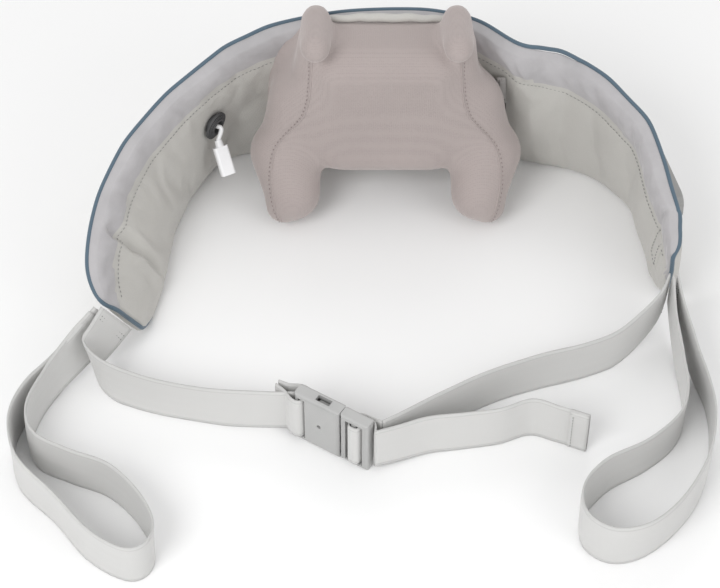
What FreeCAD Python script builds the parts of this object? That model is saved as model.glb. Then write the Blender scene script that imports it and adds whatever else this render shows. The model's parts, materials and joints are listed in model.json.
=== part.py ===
"""Shiatsu neck massager: a padded shawl that stands as a C on its lower edge, a kneading unit with
four massage fingers at its middle, a hand loop and half a waist strap at each tip, and a side-release buckle.

Frame: millimetres, +Z up, origin at the middle of the flat strip that the shawl's back stands on.
The fingers point along -Y, and +X is on the right as seen from in front of them.
"""

import math
import os
import re

import FreeCAD
import Part
import Sketcher

V = FreeCAD.Vector
doc = FreeCAD.newDocument("neck_massager")
nodes = {}

# ---------------------------------------------------------------- driving dimensions

DIMENSIONS = {
    # webbing and buckle
    "web_width": 38.0,
    "web_thick": 1.8,
    "buckle_width": 47.0,
    "buckle_thick": 11.0,
    "socket_length": 36.0,
    "plug_length": 22.0,
    "prong_length": 23.0,
    "strap_slot": 5.0,
    # shawl
    "skin": 2.0,
    "skin_gap": 0.3,
    "piping_radius": 2.2,
    "piping_clear": 0.8,
    "band_height": 16.0,
    # gearbox, on depths measured along -Y
    "plate_thick": 2.5,
    "box_half_width": 46.0,
    "box_low": 58.0,
    "box_high": 138.0,
    "wall": 2.2,
    "rear_length": 21.4,
    "front_length": 17.6,
    "lug_width": 14.0,
    "lug_height": 20.0,
    "screw_radius": 1.0,
    "screw_head_radius": 2.0,
    # motor and gears
    "motor_radius": 13.0,
    "motor_length": 24.0,
    "motor_wall": 1.2,
    "armature_radius": 9.0,
    "shaft_radius": 1.5,
    "run_gap": 0.05,
    "gear_module": 1.0,
    "wheel_teeth": 36.0,
    "wheel_thick": 5.0,
    "worm_pitch_radius": 5.0,
    "worm_length": 20.0,
    "axle_radius": 3.0,
    "bush_radius": 5.0,
    "bush_length": 3.0,
    "crank_radius": 2.5,
    "crank_throw": 3.6,
    # kneading arms
    "arm_thick": 3.0,
    "hub_radius": 7.0,
    "hub_length": 7.2,
    "arm_bush_radius": 4.0,
    "pin_radius": 2.0,
    "window_half_width": 7.2,
    "window_half_height": 10.2,
    "head_gap": 0.3,
    "sleeve_thick": 1.6,
    "cover_thick": 2.0,
    "cover_half_width": 34.0,
    # electrics
    "cell_radius": 9.2,
    "cell_length": 65.0,
    "board_thick": 1.6,
    "grommet_radius": 11.0,
    "grommet_bore": 5.2,
    "cable_radius": 1.7,
    "connector_width": 11.0,
    "connector_thick": 6.5,
    "connector_length": 22.0,
    # control pod
    "pod_length": 62.0,
    "pod_width": 24.0,
    "pod_base": 1.6,
    "pod_height": 4.4,
    "pod_wall": 1.4,
    "button_radius": 6.0,
    "button_gap": 0.3,
    # zip
    "zip_width": 6.0,
    "zip_thick": 0.8,
    "zip_length": 64.0,
    "coil_width": 2.4,
    "coil_height": 1.2,
}


def make_sheet():
    """The driving dimensions as a spreadsheet, one alias a row."""
    table = doc.addObject("Spreadsheet::Sheet", "dims")
    for row, (alias, value) in enumerate(DIMENSIONS.items(), start=1):
        table.set("A%d" % row, alias)
        table.set("B%d" % row, str(value))
        table.setAlias("B%d" % row, alias)
    doc.recompute()
    return table


sheet = make_sheet()
ALIASES = re.compile(r"\b(%s)\b" % "|".join(DIMENSIONS))


def dim(alias):
    """A driving dimension as a number, for places that are worked out in code."""
    return float(sheet.get(alias))


def bind(thing, prop, formula):
    """Binds a property to a formula of sheet aliases, such as "wall + 2 * skin"."""
    thing.setExpression(prop, ALIASES.sub(r"dims.\1", str(formula)))


def keep(label, thing):
    """Marks an object as one of the sub-parts that are exported."""
    thing.Label = label
    nodes[label] = thing
    return thing


# ---------------------------------------------------------------- building blocks

TURN = {
    "X": FreeCAD.Rotation(V(0, 1, 0), 90),
    "Y": FreeCAD.Rotation(V(1, 0, 0), -90),
    "-Y": FreeCAD.Rotation(V(1, 0, 0), 90),
    "Z": FreeCAD.Rotation(),
}


def turned(axis):
    """A rotation that carries +Z to a named axis or to a vector."""
    return TURN[axis] if isinstance(axis, str) else FreeCAD.Rotation(V(0, 0, 1), V(*axis))


def cylinder(name, radius, height, at, axis="Z"):
    thing = doc.addObject("Part::Cylinder", name)
    bind(thing, "Radius", radius)
    bind(thing, "Height", height)
    thing.Placement = FreeCAD.Placement(V(*at), turned(axis))
    return thing


def box(name, size, centre, rotation=None):
    """A box by its three size formulas, centred on a point."""
    thing = doc.addObject("Part::Box", name)
    for prop, formula in zip(("Length", "Width", "Height"), size):
        bind(thing, prop, formula)
    doc.recompute([thing])
    rotation = rotation or FreeCAD.Rotation()
    half = V(thing.Length.Value / 2, thing.Width.Value / 2, thing.Height.Value / 2)
    thing.Placement = FreeCAD.Placement(V(*centre) - rotation.multVec(half), rotation)
    return thing


def sphere(name, radius, at):
    thing = doc.addObject("Part::Sphere", name)
    bind(thing, "Radius", radius)
    thing.Placement = FreeCAD.Placement(V(*at), FreeCAD.Rotation())
    return thing


def cone(name, radius1, radius2, height, at, axis):
    thing = doc.addObject("Part::Cone", name)
    bind(thing, "Radius1", radius1)
    bind(thing, "Radius2", radius2)
    bind(thing, "Height", height)
    thing.Placement = FreeCAD.Placement(V(*at), turned(axis))
    return thing


def fuse(name, things):
    if len(things) == 1:
        return things[0]
    thing = doc.addObject("Part::MultiFuse", name)
    thing.Shapes = things
    return thing


def cut(name, base, tools):
    thing = doc.addObject("Part::Cut", name)
    thing.Base = base
    thing.Tool = fuse(name + "_tools", tools)
    return thing


def group(name, things):
    """Separate identical solids that share one node."""
    thing = doc.addObject("Part::Compound", name)
    thing.Links = things
    return thing


def rounded(name, base, radius, test):
    """A fillet of one radius on the edges of base that pass the test."""
    doc.recompute()
    thing = doc.addObject("Part::Fillet", name)
    thing.Base = base
    thing.Edges = [(i, radius, radius) for i, edge in enumerate(base.Shape.Edges, start=1) if test(edge)]
    return thing


# ---------------------------------------------------------------- PartDesign helpers

def new_body(name):
    return doc.addObject("PartDesign::Body", name)


def sketch_on(body, role, depth, name):
    """A sketch on one of the body's origin planes, moved along the plane's normal."""
    plane = [f for f in body.Origin.OriginFeatures if f.Role == role][0]
    made = body.newObject("Sketcher::SketchObject", name)
    made.AttachmentSupport = (plane, [""])
    made.MapMode = "FlatFace"
    made.AttachmentOffset = FreeCAD.Placement(V(0, 0, depth), FreeCAD.Rotation())
    return made


def signed(made, kind, index, point, value, name, formula):
    """Ties one sketch point to the origin by a distance that may be negative."""
    if value >= 0:
        which = made.addConstraint(Sketcher.Constraint(kind, -1, 1, index, point, value))
        sign = ""
    else:
        which = made.addConstraint(Sketcher.Constraint(kind, index, point, -1, 1, -value))
        sign = "-"
    if formula:
        made.renameConstraint(which, name)
        bind(made, "Constraints." + name, "%s(%s)" % (sign, formula))


def draw_rectangle(made, low, size, tag):
    """A constrained rectangle: its low corner in numbers, its two sizes as formulas or numbers."""
    width, height = (evaluate(s) for s in size)
    x, y = low
    corners = [V(x, y, 0), V(x + width, y, 0), V(x + width, y + height, 0), V(x, y + height, 0)]
    first = made.GeometryCount
    for k in range(4):
        made.addGeometry(Part.LineSegment(corners[k], corners[(k + 1) % 4]), False)
    for k in range(4):
        made.addConstraint(Sketcher.Constraint("Coincident", first + k, 2, first + (k + 1) % 4, 1))
    for k, kind in enumerate(("Horizontal", "Vertical", "Horizontal", "Vertical")):
        made.addConstraint(Sketcher.Constraint(kind, first + k))
    for kind, line, value, name, formula in (
        ("DistanceX", first, width, tag + "_wide", size[0]),
        ("DistanceY", first + 1, height, tag + "_high", size[1]),
    ):
        which = made.addConstraint(Sketcher.Constraint(kind, line, 1, line, 2, value))
        made.renameConstraint(which, name)
        bind(made, "Constraints." + name, formula)
    signed(made, "DistanceX", first, 1, x, "", None)
    signed(made, "DistanceY", first, 1, y, "", None)


def draw_circle(made, centre, radius, tag):
    """A constrained circle, its radius a formula."""
    which = made.addGeometry(Part.Circle(V(*centre, 0), V(0, 0, 1), evaluate(radius)), False)
    signed(made, "DistanceX", which, 3, centre[0], "", None)
    signed(made, "DistanceY", which, 3, centre[1], "", None)
    size = made.addConstraint(Sketcher.Constraint("Radius", which, evaluate(radius)))
    made.renameConstraint(size, tag + "_r")
    bind(made, "Constraints." + tag + "_r", radius)


def evaluate(formula):
    """A formula of aliases as a number."""
    text = ALIASES.sub(lambda found: repr(dim(found.group(1))), str(formula))
    return float(FreeCAD.Units.Quantity(text).Value)


def pad(body, made, length, name):
    feature = body.newObject("PartDesign::Pad", name)
    feature.Profile = made
    bind(feature, "Length", length)
    doc.recompute()
    return feature


def pocket(body, made, length, name, back=False):
    feature = body.newObject("PartDesign::Pocket", name)
    feature.Profile = made
    bind(feature, "Length", length)
    feature.Reversed = back
    doc.recompute()
    return feature


def fillet(body, feature, radius, test, name):
    made = body.newObject("PartDesign::Fillet", name)
    edges = ["Edge%d" % i for i, e in enumerate(feature.Shape.Edges, start=1) if test(e)]
    made.Base = (feature, edges)
    made.Radius = radius
    doc.recompute()
    return made


def along(edge, direction):
    """Whether an edge is straight and runs along a direction."""
    if edge.Curve.TypeId != "Part::GeomLine":
        return False
    return abs(abs(edge.Curve.Direction.dot(V(*direction))) - 1) < 1e-6


# ---------------------------------------------------------------- shawl

# The shawl from the left tip to the right tip: a point on its top edge, the foot below it, and its thickness.
STATIONS = [
    ((-203, -199, 60), (-178, -188, 14), 7),
    ((-208, -178, 74), (-171, -168, 0), 12),
    ((-206, -156, 85), (-167, -148, 0), 14),
    ((-200, -129, 96), (-165, -122, 0), 15),
    ((-183, -94, 109), (-162, -86, 0), 16),
    ((-155, -60, 121), (-152, -46, 0), 16),
    ((-115, -25, 132), (-130, 0, 0), 16),
    ((-90, -11, 138), (-104, 9, 0), 15),
    ((-66, -3, 144), (-72, 4, 0), 13),
    ((-30, 3, 148), (-32, 3, 0), 12),
    ((0, 4, 149), (0, 3, 0), 12),
    ((30, 4, 149), (32, 3, 0), 12),
    ((66, -3, 144), (72, 4, 0), 13),
    ((90, -19, 133), (99, 3, 0), 15),
    ((98, -26, 129), (112, 0, 0), 15),
    ((114, -18, 123), (128, -5, 0), 15),
    ((134, -12, 118), (145, -12, 0), 15),
    ((160, -31, 109), (168, -24, 0), 16),
    ((185, -65, 101), (192, -56, 0), 16),
    ((195, -100, 90), (197, -98, 0), 15),
    ((201, -138, 78), (201, -132, 0), 13),
    ((204, -166, 67), (204, -158, 16), 7),
]
FOOT_FLAT = 3.0


def station_frames():
    """For each station: foot, up, outward normal, backward run, height and thickness."""
    feet = [V(*foot) for _, foot, _ in STATIONS]
    frames = []
    for k, (top, _, thick) in enumerate(STATIONS):
        ahead, behind = feet[min(k + 1, len(feet) - 1)], feet[max(k - 1, 0)]
        rise = V(*top) - feet[k]
        up = V(rise).normalize()
        out = up.cross(ahead - behind).normalize()
        frames.append((feet[k], up, out, out.cross(up), rise.Length, thick))
    return frames


FRAMES = station_frames()


def draw_outline(made, points):
    """A closed outline of straight lines."""
    for here, ahead in zip(points, points[1:] + points[:1]):
        made.addGeometry(Part.LineSegment(V(*here, 0), V(*ahead, 0)), False)


def section(name, frame, points):
    """An outline drawn square to the shawl's run, x outwards and y up from the foot."""
    foot, up, out, run, _, _ = frame
    made = doc.addObject("Sketcher::SketchObject", name)
    made.Placement = FreeCAD.Placement(foot, FreeCAD.Rotation(out, up, out.cross(up), "XYZ"))
    draw_outline(made, points)
    return made


def ends(frame):
    """Heights of the section's lower and upper round centres, and its radius."""
    height, thick = frame[4], frame[5]
    radius = thick / 2
    return radius - FOOT_FLAT, height - radius - 2 * dim("piping_radius") - dim("piping_clear"), radius


CORNER = 0.42


def bend(x_centre, y_centre, radius, turn):
    """Two points that round off a panel's top (turn 1) or foot (turn -1)."""
    return [(x_centre + CORNER * radius, y_centre + turn * radius),
            (x_centre + radius, y_centre + turn * CORNER * radius)]


def panel_points(frame, side, from_top, from_foot):
    """Half of the cover's ring on one side; it may start below the top or stop above the foot."""
    low, high, outer = ends(frame)
    inner, gap = outer - dim("skin"), dim("skin_gap") / 2
    band = high - dim("band_height")
    if from_top:
        start = [(gap, high + inner), (gap, high + outer)] + bend(gap, high, outer, 1)
        finish = bend(gap, high, inner, 1)[::-1]
    else:
        start = [(gap + inner, band), (gap + outer, band)]
        finish = []
    if from_foot:
        middle = bend(gap, low, outer, -1)[::-1] + [(gap, low - outer), (gap, low - inner)] + bend(gap, low,
                                                                                                   inner, -1)
    else:
        edge = band + dim("skin_gap")
        middle = [(gap + outer, edge), (gap + inner, edge)]
    return [(side * x, y) for x, y in start + middle + finish]


def core_points(frame):
    """The foam core, inset from the cover."""
    low, high, outer = ends(frame)
    radius = outer - dim("skin") - dim("skin_gap")
    right = bend(0, high, radius, 1) + bend(0, low, radius, -1)[::-1]
    return right + [(-x, y) for x, y in right[::-1]]


def padded(name, outlines, floor):
    """A loft through one outline a station, with its foot cut flat at the floor."""
    loft = doc.addObject("Part::Loft", name + "_loft")
    loft.Sections = [section("%s_s%d" % (name, k), *pair) for k, pair in enumerate(zip(FRAMES, outlines))]
    loft.Solid = True
    loft.Ruled = True
    return cut(name + "_trim", loft, [box(name + "_floor", ("1000", "1000", "40"), (0, 0, floor - 20))])


def wing_spot(station, height, side, clear):
    """A placement on the shawl's face: local z away from the face, y up, at a fractional station."""
    k = min(int(station), len(FRAMES) - 2)
    part = station - k
    foot, up, out = (FRAMES[k][i] * (1 - part) + FRAMES[k + 1][i] * part for i in range(3))
    thick = FRAMES[k][5] * (1 - part) + FRAMES[k + 1][5] * part
    up, out = up.normalize(), (out * side).normalize()
    point = foot + up * height + out * (thick / 2 + dim("skin_gap") / 2 + clear)
    return FreeCAD.Placement(point, FreeCAD.Rotation(up.cross(out), up, out, "ZYX"))


GROMMET_SPOT = wing_spot(5.62, 68.0, -1, 1.4)


def make_shawl():
    """The shawl's panels, foam and piping; the lead's hole goes through the inner panel and the foam."""
    outer = padded("outer", [panel_points(f, 1, True, True) for f in FRAMES], 0)
    inner = padded("inner", [panel_points(f, -1, False, True) for f in FRAMES], 0)
    band = padded("band", [panel_points(f, -1, True, False) for f in FRAMES], 0)
    core = padded("core", [core_points(f) for f in FRAMES], 0)
    drill = cylinder("lead_hole", "grommet_radius - 3", 14, (0, 0, 0))
    drill.Placement = GROMMET_SPOT.multiply(FreeCAD.Placement(V(0, 0, -12), FreeCAD.Rotation()))
    keep("outer_panel", outer)
    keep("inner_panel", cut("inner_drilled", inner, [drill]))
    keep("edge_band", band)
    keep("shawl_foam", cut("core_drilled", core, [drill]))
    keep("piping", make_piping())


def make_piping():
    """The cord along the top edge, on the seam between the panels."""
    radius = dim("piping_radius")
    points = [V(*top) - frame[1] * radius for (top, _, _), frame in zip(STATIONS, FRAMES)]
    return chain("piping", [(tuple(p), radius) for p in points], 0.0, 1)


# ---------------------------------------------------------------- webbing

# Plan paths of the webbing, which stands on edge. At a tip it leans with the wing and is lifted with it.
LEFT_LOOP = [
    (-194, -202), (-207, -213), (-228, -232), (-247, -256), (-256, -286), (-248, -320), (-221, -350), (-196,
                                                                                                       -380),
    (-172, -395), (-158, -391), (-154, -374), (-166, -349), (-187, -327), (-214, -315), (-238, -301),
    (-245, -277), (-234, -244), (-214, -220), (-197, -206),
]
RIGHT_LOOP = [
    (204, -172), (207, -189), (214, -220), (221, -254), (221, -286), (211, -324), (192, -355), (168, -376),
    (145, -380), (129, -367), (129, -345), (146, -323), (174, -306), (196, -285), (205, -262), (205, -232),
    (202, -200), (201, -173),
]
LEFT_STRAP = [
    (-189, -202), (-199, -214), (-207, -225), (-198, -238), (-176, -249), (-152, -257), (-118, -264),
    (-86, -268), (-63, -270),
]
RIGHT_STRAP = [
    (198, -172), (192, -184), (178, -198), (160, -212), (136, -223), (104, -233), (70, -247), (38, -266),
    (8, -287), (-4, -295),
]
STRAP_TAIL = [
    (-9, -304), (6, -298), (28, -289), (52, -285), (76, -281), (98, -273), (116, -279), (136, -287),
]
LEFT_TIP = (22, V(-25, -11, 46))
RIGHT_TIP = (20, V(0, -8, 51))
BUCKLE = (4.5, V(0, 0, 1))
RISE_RUN = 62.0


def webbing(name, plan, start=None, finish=None):
    """A strip of webbing on edge along a plan path; each end may be lifted and leaned like its neighbour."""
    points = [V(x, y, 0) for x, y in plan]
    along_path = [0.0]
    for a, b in zip(points, points[1:]):
        along_path.append(along_path[-1] + (b - a).Length)
    sections = []
    for k, point in enumerate(points):
        up, lift = V(0, 0, 1), 0.0
        for held, distance in ((start, along_path[k]), (finish, along_path[-1] - along_path[k])):
            if held:
                share = max(0.0, 1 - distance / RISE_RUN) ** 1.5
                up = up * (1 - share) + V(held[1]).normalize() * share
                lift += held[0] * share
        run = points[min(k + 1, len(points) - 1)] - points[max(k - 1, 0)]
        sections.append(web_section("%s_s%d" % (name, k), point, lift, up.normalize(), run))
    loft = doc.addObject("Part::Loft", name)
    loft.Sections = sections
    loft.Solid = True
    loft.Ruled = True
    return loft


def web_section(name, point, lift, up, run):
    """The webbing's rectangle, centred half a width above its lower edge."""
    out = up.cross(run).normalize()
    made = doc.addObject("Sketcher::SketchObject", name)
    centre = point + V(0, 0, lift + dim("web_width") / 2)
    made.Placement = FreeCAD.Placement(centre, FreeCAD.Rotation(out, up, out.cross(up), "XYZ"))
    wide, high = dim("web_thick") / 2, dim("web_width") / 2
    draw_outline(made, [(-wide, -high), (wide, -high), (wide, high), (-wide, high)])
    return made


# ---------------------------------------------------------------- buckle

BUCKLE_START = V(-61, -270, 23.6)
BUCKLE_ALONG = V(0.845, -0.535, 0).normalize()
BUCKLE_FRAME = FreeCAD.Placement(
    BUCKLE_START, FreeCAD.Rotation(BUCKLE_ALONG, V(0, 0, 1).cross(BUCKLE_ALONG), V(0, 0, 1), "ZXY")
)
JOIN_GAP = 0.4


def make_buckle():
    """Socket and plug, built along local x from the left strap's bar, with z across the webbing."""
    width, thick, socket, plug = (dim(n) for n in ("buckle_width", "buckle_thick", "socket_length",
                                                   "plug_length"))
    shell = box("socket_block", ("socket_length", "buckle_thick", "buckle_width"), (socket / 2, 0, 0))
    soft = rounded("socket_round", shell, 2.5, lambda e: along(e, (1, 0, 0)) or along(e, (0, 0, 1)))
    cavity = box("socket_cavity", ("socket_length - 10", "7.4", "buckle_width - 6"),
                 (socket / 2 + 5.1, 0, 0))
    slot = box("socket_slot", ("strap_slot", "buckle_thick + 1", "web_width + 2"), (6, 0, 0))
    window = box("socket_window", (11, 5, "buckle_width + 2"), (21, 0, 0))
    dimple = cylinder("socket_dimple", 1.6, 4, (20, -thick / 2 - 1, 0), "Y")
    place(keep("buckle_socket", cut("socket", soft, [cavity, slot, window, dimple])), BUCKLE_FRAME)
    start = socket + JOIN_GAP
    frame = box("plug_block", ("plug_length", "buckle_thick - 1", "buckle_width"), (start + plug / 2, 0, 0))
    soft = rounded("plug_round", frame, 2.5, lambda e: along(e, (1, 0, 0)) or along(e, (0, 0, 1)))
    slots = [box("plug_slot%d" % k, ("strap_slot", "buckle_thick + 1", "web_width + 2"), (start + x, 0, 0))
             for k, x in enumerate((7, 15.5))]
    body = cut("plug_frame", soft, slots)
    reach = start - dim("prong_length") / 2 + 1
    prongs = [box("plug_prong%d" % k, ("prong_length + 2", "5", "6"), (reach, 0, z)) for k,
              z in enumerate((-14, 14))]
    bumps = [box("plug_bump%d" % k, (8, 4.4, 3), (21, 0, z)) for k, z in enumerate((-17.8, 17.8))]
    guide = box("plug_guide", ("prong_length + 2", "3", "8"), (reach, 0, 0))
    place(keep("buckle_plug", fuse("plug", [body, guide] + prongs + bumps)), BUCKLE_FRAME)


def place(thing, placement):
    """Carries a piece from its own frame to a placement."""
    thing.Placement = placement.multiply(thing.Placement)
    return thing


# ---------------------------------------------------------------- gearbox

DEPTH_PLATE = 6.3
DEPTH_REAR = 9.0
DEPTH_SPLIT = 30.4
DEPTH_FRONT = 48.0
DEPTH_SHAFT = 26.0
PIVOT = (52.0, 99.0)
SHAFT_HEIGHT = 122.0
SCREWS = [(-40.5, 63.5), (40.5, 63.5), (40.0, 131.5), (0.0, 132.4)]
LUG_REAR = 25.0
LUG_FRONT = 38.2
CELL = (36.3, 70.0)
HOLDERS = (-38.0, -22.0)


def along_shaft(name, radius, height, x):
    """A round piece on the motor's axis."""
    return cylinder(name, radius, height, (x, -DEPTH_SHAFT, SHAFT_HEIGHT), "X")


def bored(name, radius, bore, height, at, axis):
    """A tube."""
    return cut(name, cylinder(name + "_solid", radius, height, at, axis),
               [cylinder(name + "_bore", bore, height, at, axis)])


def make_back_plate():
    body = new_body("back_plate_body")
    made = sketch_on(body, "XZ_Plane", DEPTH_PLATE, "back_plate_outline")
    draw_rectangle(made, (-44, 52), (88, 86), "plate")
    for k, (x, z) in enumerate(((-38, 58), (38, 58), (-38, 132), (38, 132))):
        draw_circle(made, (x, z), 2.2, "hole%d" % k)
    plate = pad(body, made, "plate_thick", "back_plate_pad")
    fillet(body, plate, 8.0, lambda e: along(e, (0, 1, 0)), "back_plate_corners")
    keep("back_plate", body)


def shell_block(name, depth, length, open_depth, open_length, back):
    """Half of the gearbox as a pad with a rectangular pocket."""
    body = new_body(name + "_body")
    outline = sketch_on(body, "XZ_Plane", depth, name + "_outline")
    width, height = "2 * box_half_width", "box_high - box_low"
    draw_rectangle(outline, (-dim("box_half_width"), dim("box_low")), (width, height), "box")
    block = pad(body, outline, length, name + "_pad")
    fillet(body, block, 6.0, lambda e: along(e, (0, 1, 0)), name + "_corners")
    hollow = sketch_on(body, "XZ_Plane", open_depth, name + "_hollow")
    corner = (-dim("box_half_width") + dim("wall"), dim("box_low") + dim("wall"))
    draw_rectangle(hollow, corner, (width + " - 2 * wall", height + " - 2 * wall"), "room")
    before = body.Shape.Volume
    pocket(body, hollow, open_length, name + "_pocket", back)
    if body.Shape.Volume > 0.5 * before:
        raise RuntimeError(name + " wasn't hollowed")
    return body


def post(name, radius, x, z, depth, length):
    """A round post along -Y."""
    return cylinder(name, radius, length, (x, -depth, z), "-Y")


def slab(name, x, z, depth, size):
    """A box from its low X, low Z and nearest depth, with its sizes along X, -Y and Z."""
    wide, deep, high = size
    return box(name, size, (x + evaluate(wide) / 2, -depth - evaluate(deep) / 2, z + evaluate(high) / 2))


def make_rear_shell():
    inner = DEPTH_REAR + dim("wall")
    block = shell_block("rear", DEPTH_REAR, "rear_length", DEPTH_SPLIT, "rear_length - wall", False)
    adds = [post("axle_boss", "bush_radius + 3", 0, PIVOT[1], inner, 8.8)]
    adds += [post("rear_boss%d" % k, 2.8, x, z, inner, "rear_length - wall") for k,
             (x, z) in enumerate(SCREWS)]
    adds += [post("board_post%d" % k, 3, x, 68, inner, 1.8) for k, x in enumerate((-28, 28))]
    adds += [slab("motor_rib%d" % k, x, 107, inner, (2, 15, 30)) for k, x in enumerate(HOLDERS)]
    adds += [slab("bearing_rib", 16, 112, inner, (4, 19, 25))]
    adds += [slab("rear_lug%d" % k, x, PIVOT[1] - 10, LUG_REAR,
                  ("lug_width", DEPTH_SPLIT - LUG_REAR, "lug_height"))
             for k, x in enumerate((46, -60))]
    holes = [post("rear_bore", "bush_radius", 0, PIVOT[1], inner, 10)]
    holes += [post("rear_tap%d" % k, "screw_radius", x, z, inner + 1, 20) for k,
              (x, z) in enumerate(SCREWS)]
    holes += [post("rear_pin%d" % k, "pin_radius", x, PIVOT[1], LUG_REAR, 8) for k,
              x in enumerate((PIVOT[0], -PIVOT[0]))]
    holes += [along_shaft("motor_seat", "motor_radius", 30, -40), along_shaft("bearing_seat", 4, 6, 15)]
    keep("gearbox_rear_shell", cut("rear_shell", fuse("rear_whole", [block] + adds), holes))


def make_front_shell():
    inner_length = "front_length - wall"
    block = shell_block("front", DEPTH_SPLIT, "front_length", DEPTH_SPLIT, inner_length, True)
    adds = [post("front_boss%d" % k, 2.8, x, z, DEPTH_SPLIT, inner_length) for k,
            (x, z) in enumerate(SCREWS)]
    adds += [slab("cell_rib%d" % k, x, 59, CELL[0], (2, 10, 18)) for k, x in enumerate((-24, 22))]
    adds += [slab("front_lug%d" % k, x, PIVOT[1] - 10, LUG_FRONT, ("lug_width", "4", "lug_height"))
             for k, x in enumerate((46, -60))]
    holes = [slab("arm_slot%d" % k, x, PIVOT[1] - 9, DEPTH_SPLIT, (4, LUG_FRONT - DEPTH_SPLIT, 18))
             for k, x in enumerate((43, -47))]
    holes += [post("front_hole%d" % k, "screw_radius + 0.1", x, z, DEPTH_SPLIT, 20) for k,
              (x, z) in enumerate(SCREWS)]
    holes += [post("front_sink%d" % k, "screw_head_radius + 0.2", x, z, DEPTH_FRONT - 1.6, 5)
              for k, (x, z) in enumerate(SCREWS)]
    holes += [post("front_pin%d" % k, "pin_radius", x, PIVOT[1], LUG_FRONT, 8) for k,
              x in enumerate((PIVOT[0], -PIVOT[0]))]
    holes += [cylinder("cell_seat", "cell_radius", 70, (-35, -CELL[0], CELL[1]), "X")]
    keep("gearbox_front_shell", cut("front_shell", fuse("front_whole", [block] + adds), holes))


def make_screws():
    shanks = [post("screw_shank%d" % k, "screw_radius", x, z, 14, 32.5) for k, (x, z) in enumerate(SCREWS)]
    heads = [post("screw_head%d" % k, "screw_head_radius", x, z, DEPTH_FRONT - 1.6, 1.6)
             for k, (x, z) in enumerate(SCREWS)]
    screws = [fuse("screw%d" % k, list(pair)) for k, pair in enumerate(zip(shanks, heads))]
    keep("gearbox_screws", group("screw_set", screws))
    pins = [post("pin%d" % k, "pin_radius", x, PIVOT[1], LUG_REAR, 17.2) for k,
            x in enumerate((PIVOT[0], -PIVOT[0]))]
    keep("pivot_pins", group("pin_set", pins))


# ---------------------------------------------------------------- motor and gears

MOTOR_START = -41.0


def make_motor():
    can = along_shaft("can_solid", "motor_radius", "motor_length", MOTOR_START)
    room = along_shaft("can_room", "motor_radius - motor_wall", "motor_length - motor_wall",
                       MOTOR_START - 0.001)
    nose = along_shaft("can_nose", "shaft_radius + 1", 40, MOTOR_START)
    keep("motor_can", cut("can", can, [room, nose]))
    keep("motor_end_cap", bored("end_cap", "motor_radius", "shaft_radius + run_gap", 2,
                                (MOTOR_START - 2, -DEPTH_SHAFT, SHAFT_HEIGHT), "X"))
    shaft = along_shaft("shaft", "shaft_radius", 61, MOTOR_START - 1)
    armature = along_shaft("armature", "armature_radius", 16, MOTOR_START + 3)
    keep("motor_rotor", fuse("rotor", [shaft, armature]))
    keep("worm_bearing", bored("bearing", 4, "shaft_radius + run_gap", 4, (16, -DEPTH_SHAFT, SHAFT_HEIGHT),
                               "X"))


def tooth_points(root, tip, share):
    """A tooth as a trapezoid: share is its part of the pitch at mid-height, flanks at twenty degrees."""
    pitch = math.pi * dim("gear_module")
    half, slope = pitch * share / 2, math.tan(math.radians(20))
    middle = (root + tip) / 2
    return [(-half - slope * (middle - root), root), (half + slope * (middle - root), root),
            (half - slope * (tip - middle), tip), (-half + slope * (tip - middle), tip)]


TOOTH_SHARE = 0.34
ROOT_DROP = 1.25


def make_worm():
    """A single-start thread swept round a core, with a groove over the wheel's middle at rest."""
    radius = dim("worm_pitch_radius")
    root = radius - ROOT_DROP * dim("gear_module")
    helix = doc.addObject("Part::Helix", "worm_helix")
    bind(helix, "Pitch", "pi * gear_module")
    bind(helix, "Height", "worm_length - 2")
    bind(helix, "Radius", "worm_pitch_radius")
    profile = doc.addObject("Sketcher::SketchObject", "worm_profile")
    points = tooth_points(root - 0.4, radius + dim("gear_module"), TOOTH_SHARE)
    draw_outline(profile, [(rise, across) for across, rise in points])
    profile.Placement = FreeCAD.Placement(V(0, 0, 0), FreeCAD.Rotation(V(1, 0, 0), 90))
    doc.recompute()
    thread = doc.addObject("Part::Sweep", "worm_thread")
    thread.Sections = [profile]
    thread.Spine = (helix, ["Edge%d" % (k + 1) for k in range(len(helix.Shape.Edges))])
    thread.Solid = True
    thread.Frenet = True
    core = cylinder("worm_core", root, "worm_length", (0, 0, -1))
    bore = cylinder("worm_bore", "shaft_radius", "worm_length + 2", (0, 0, -2))
    worm = cut("worm", fuse("worm_whole", [core, thread]), [bore])
    phase = FreeCAD.Rotation(V(0, 0, 1), WORM_PHASE)
    half = dim("worm_length") / 2 - 1
    worm.Placement = FreeCAD.Placement(
        V(-half, -DEPTH_SHAFT, SHAFT_HEIGHT), TURN["X"].multiply(phase)
    )
    keep("drive_worm", worm)


WORM_PHASE = 230.0


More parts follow.
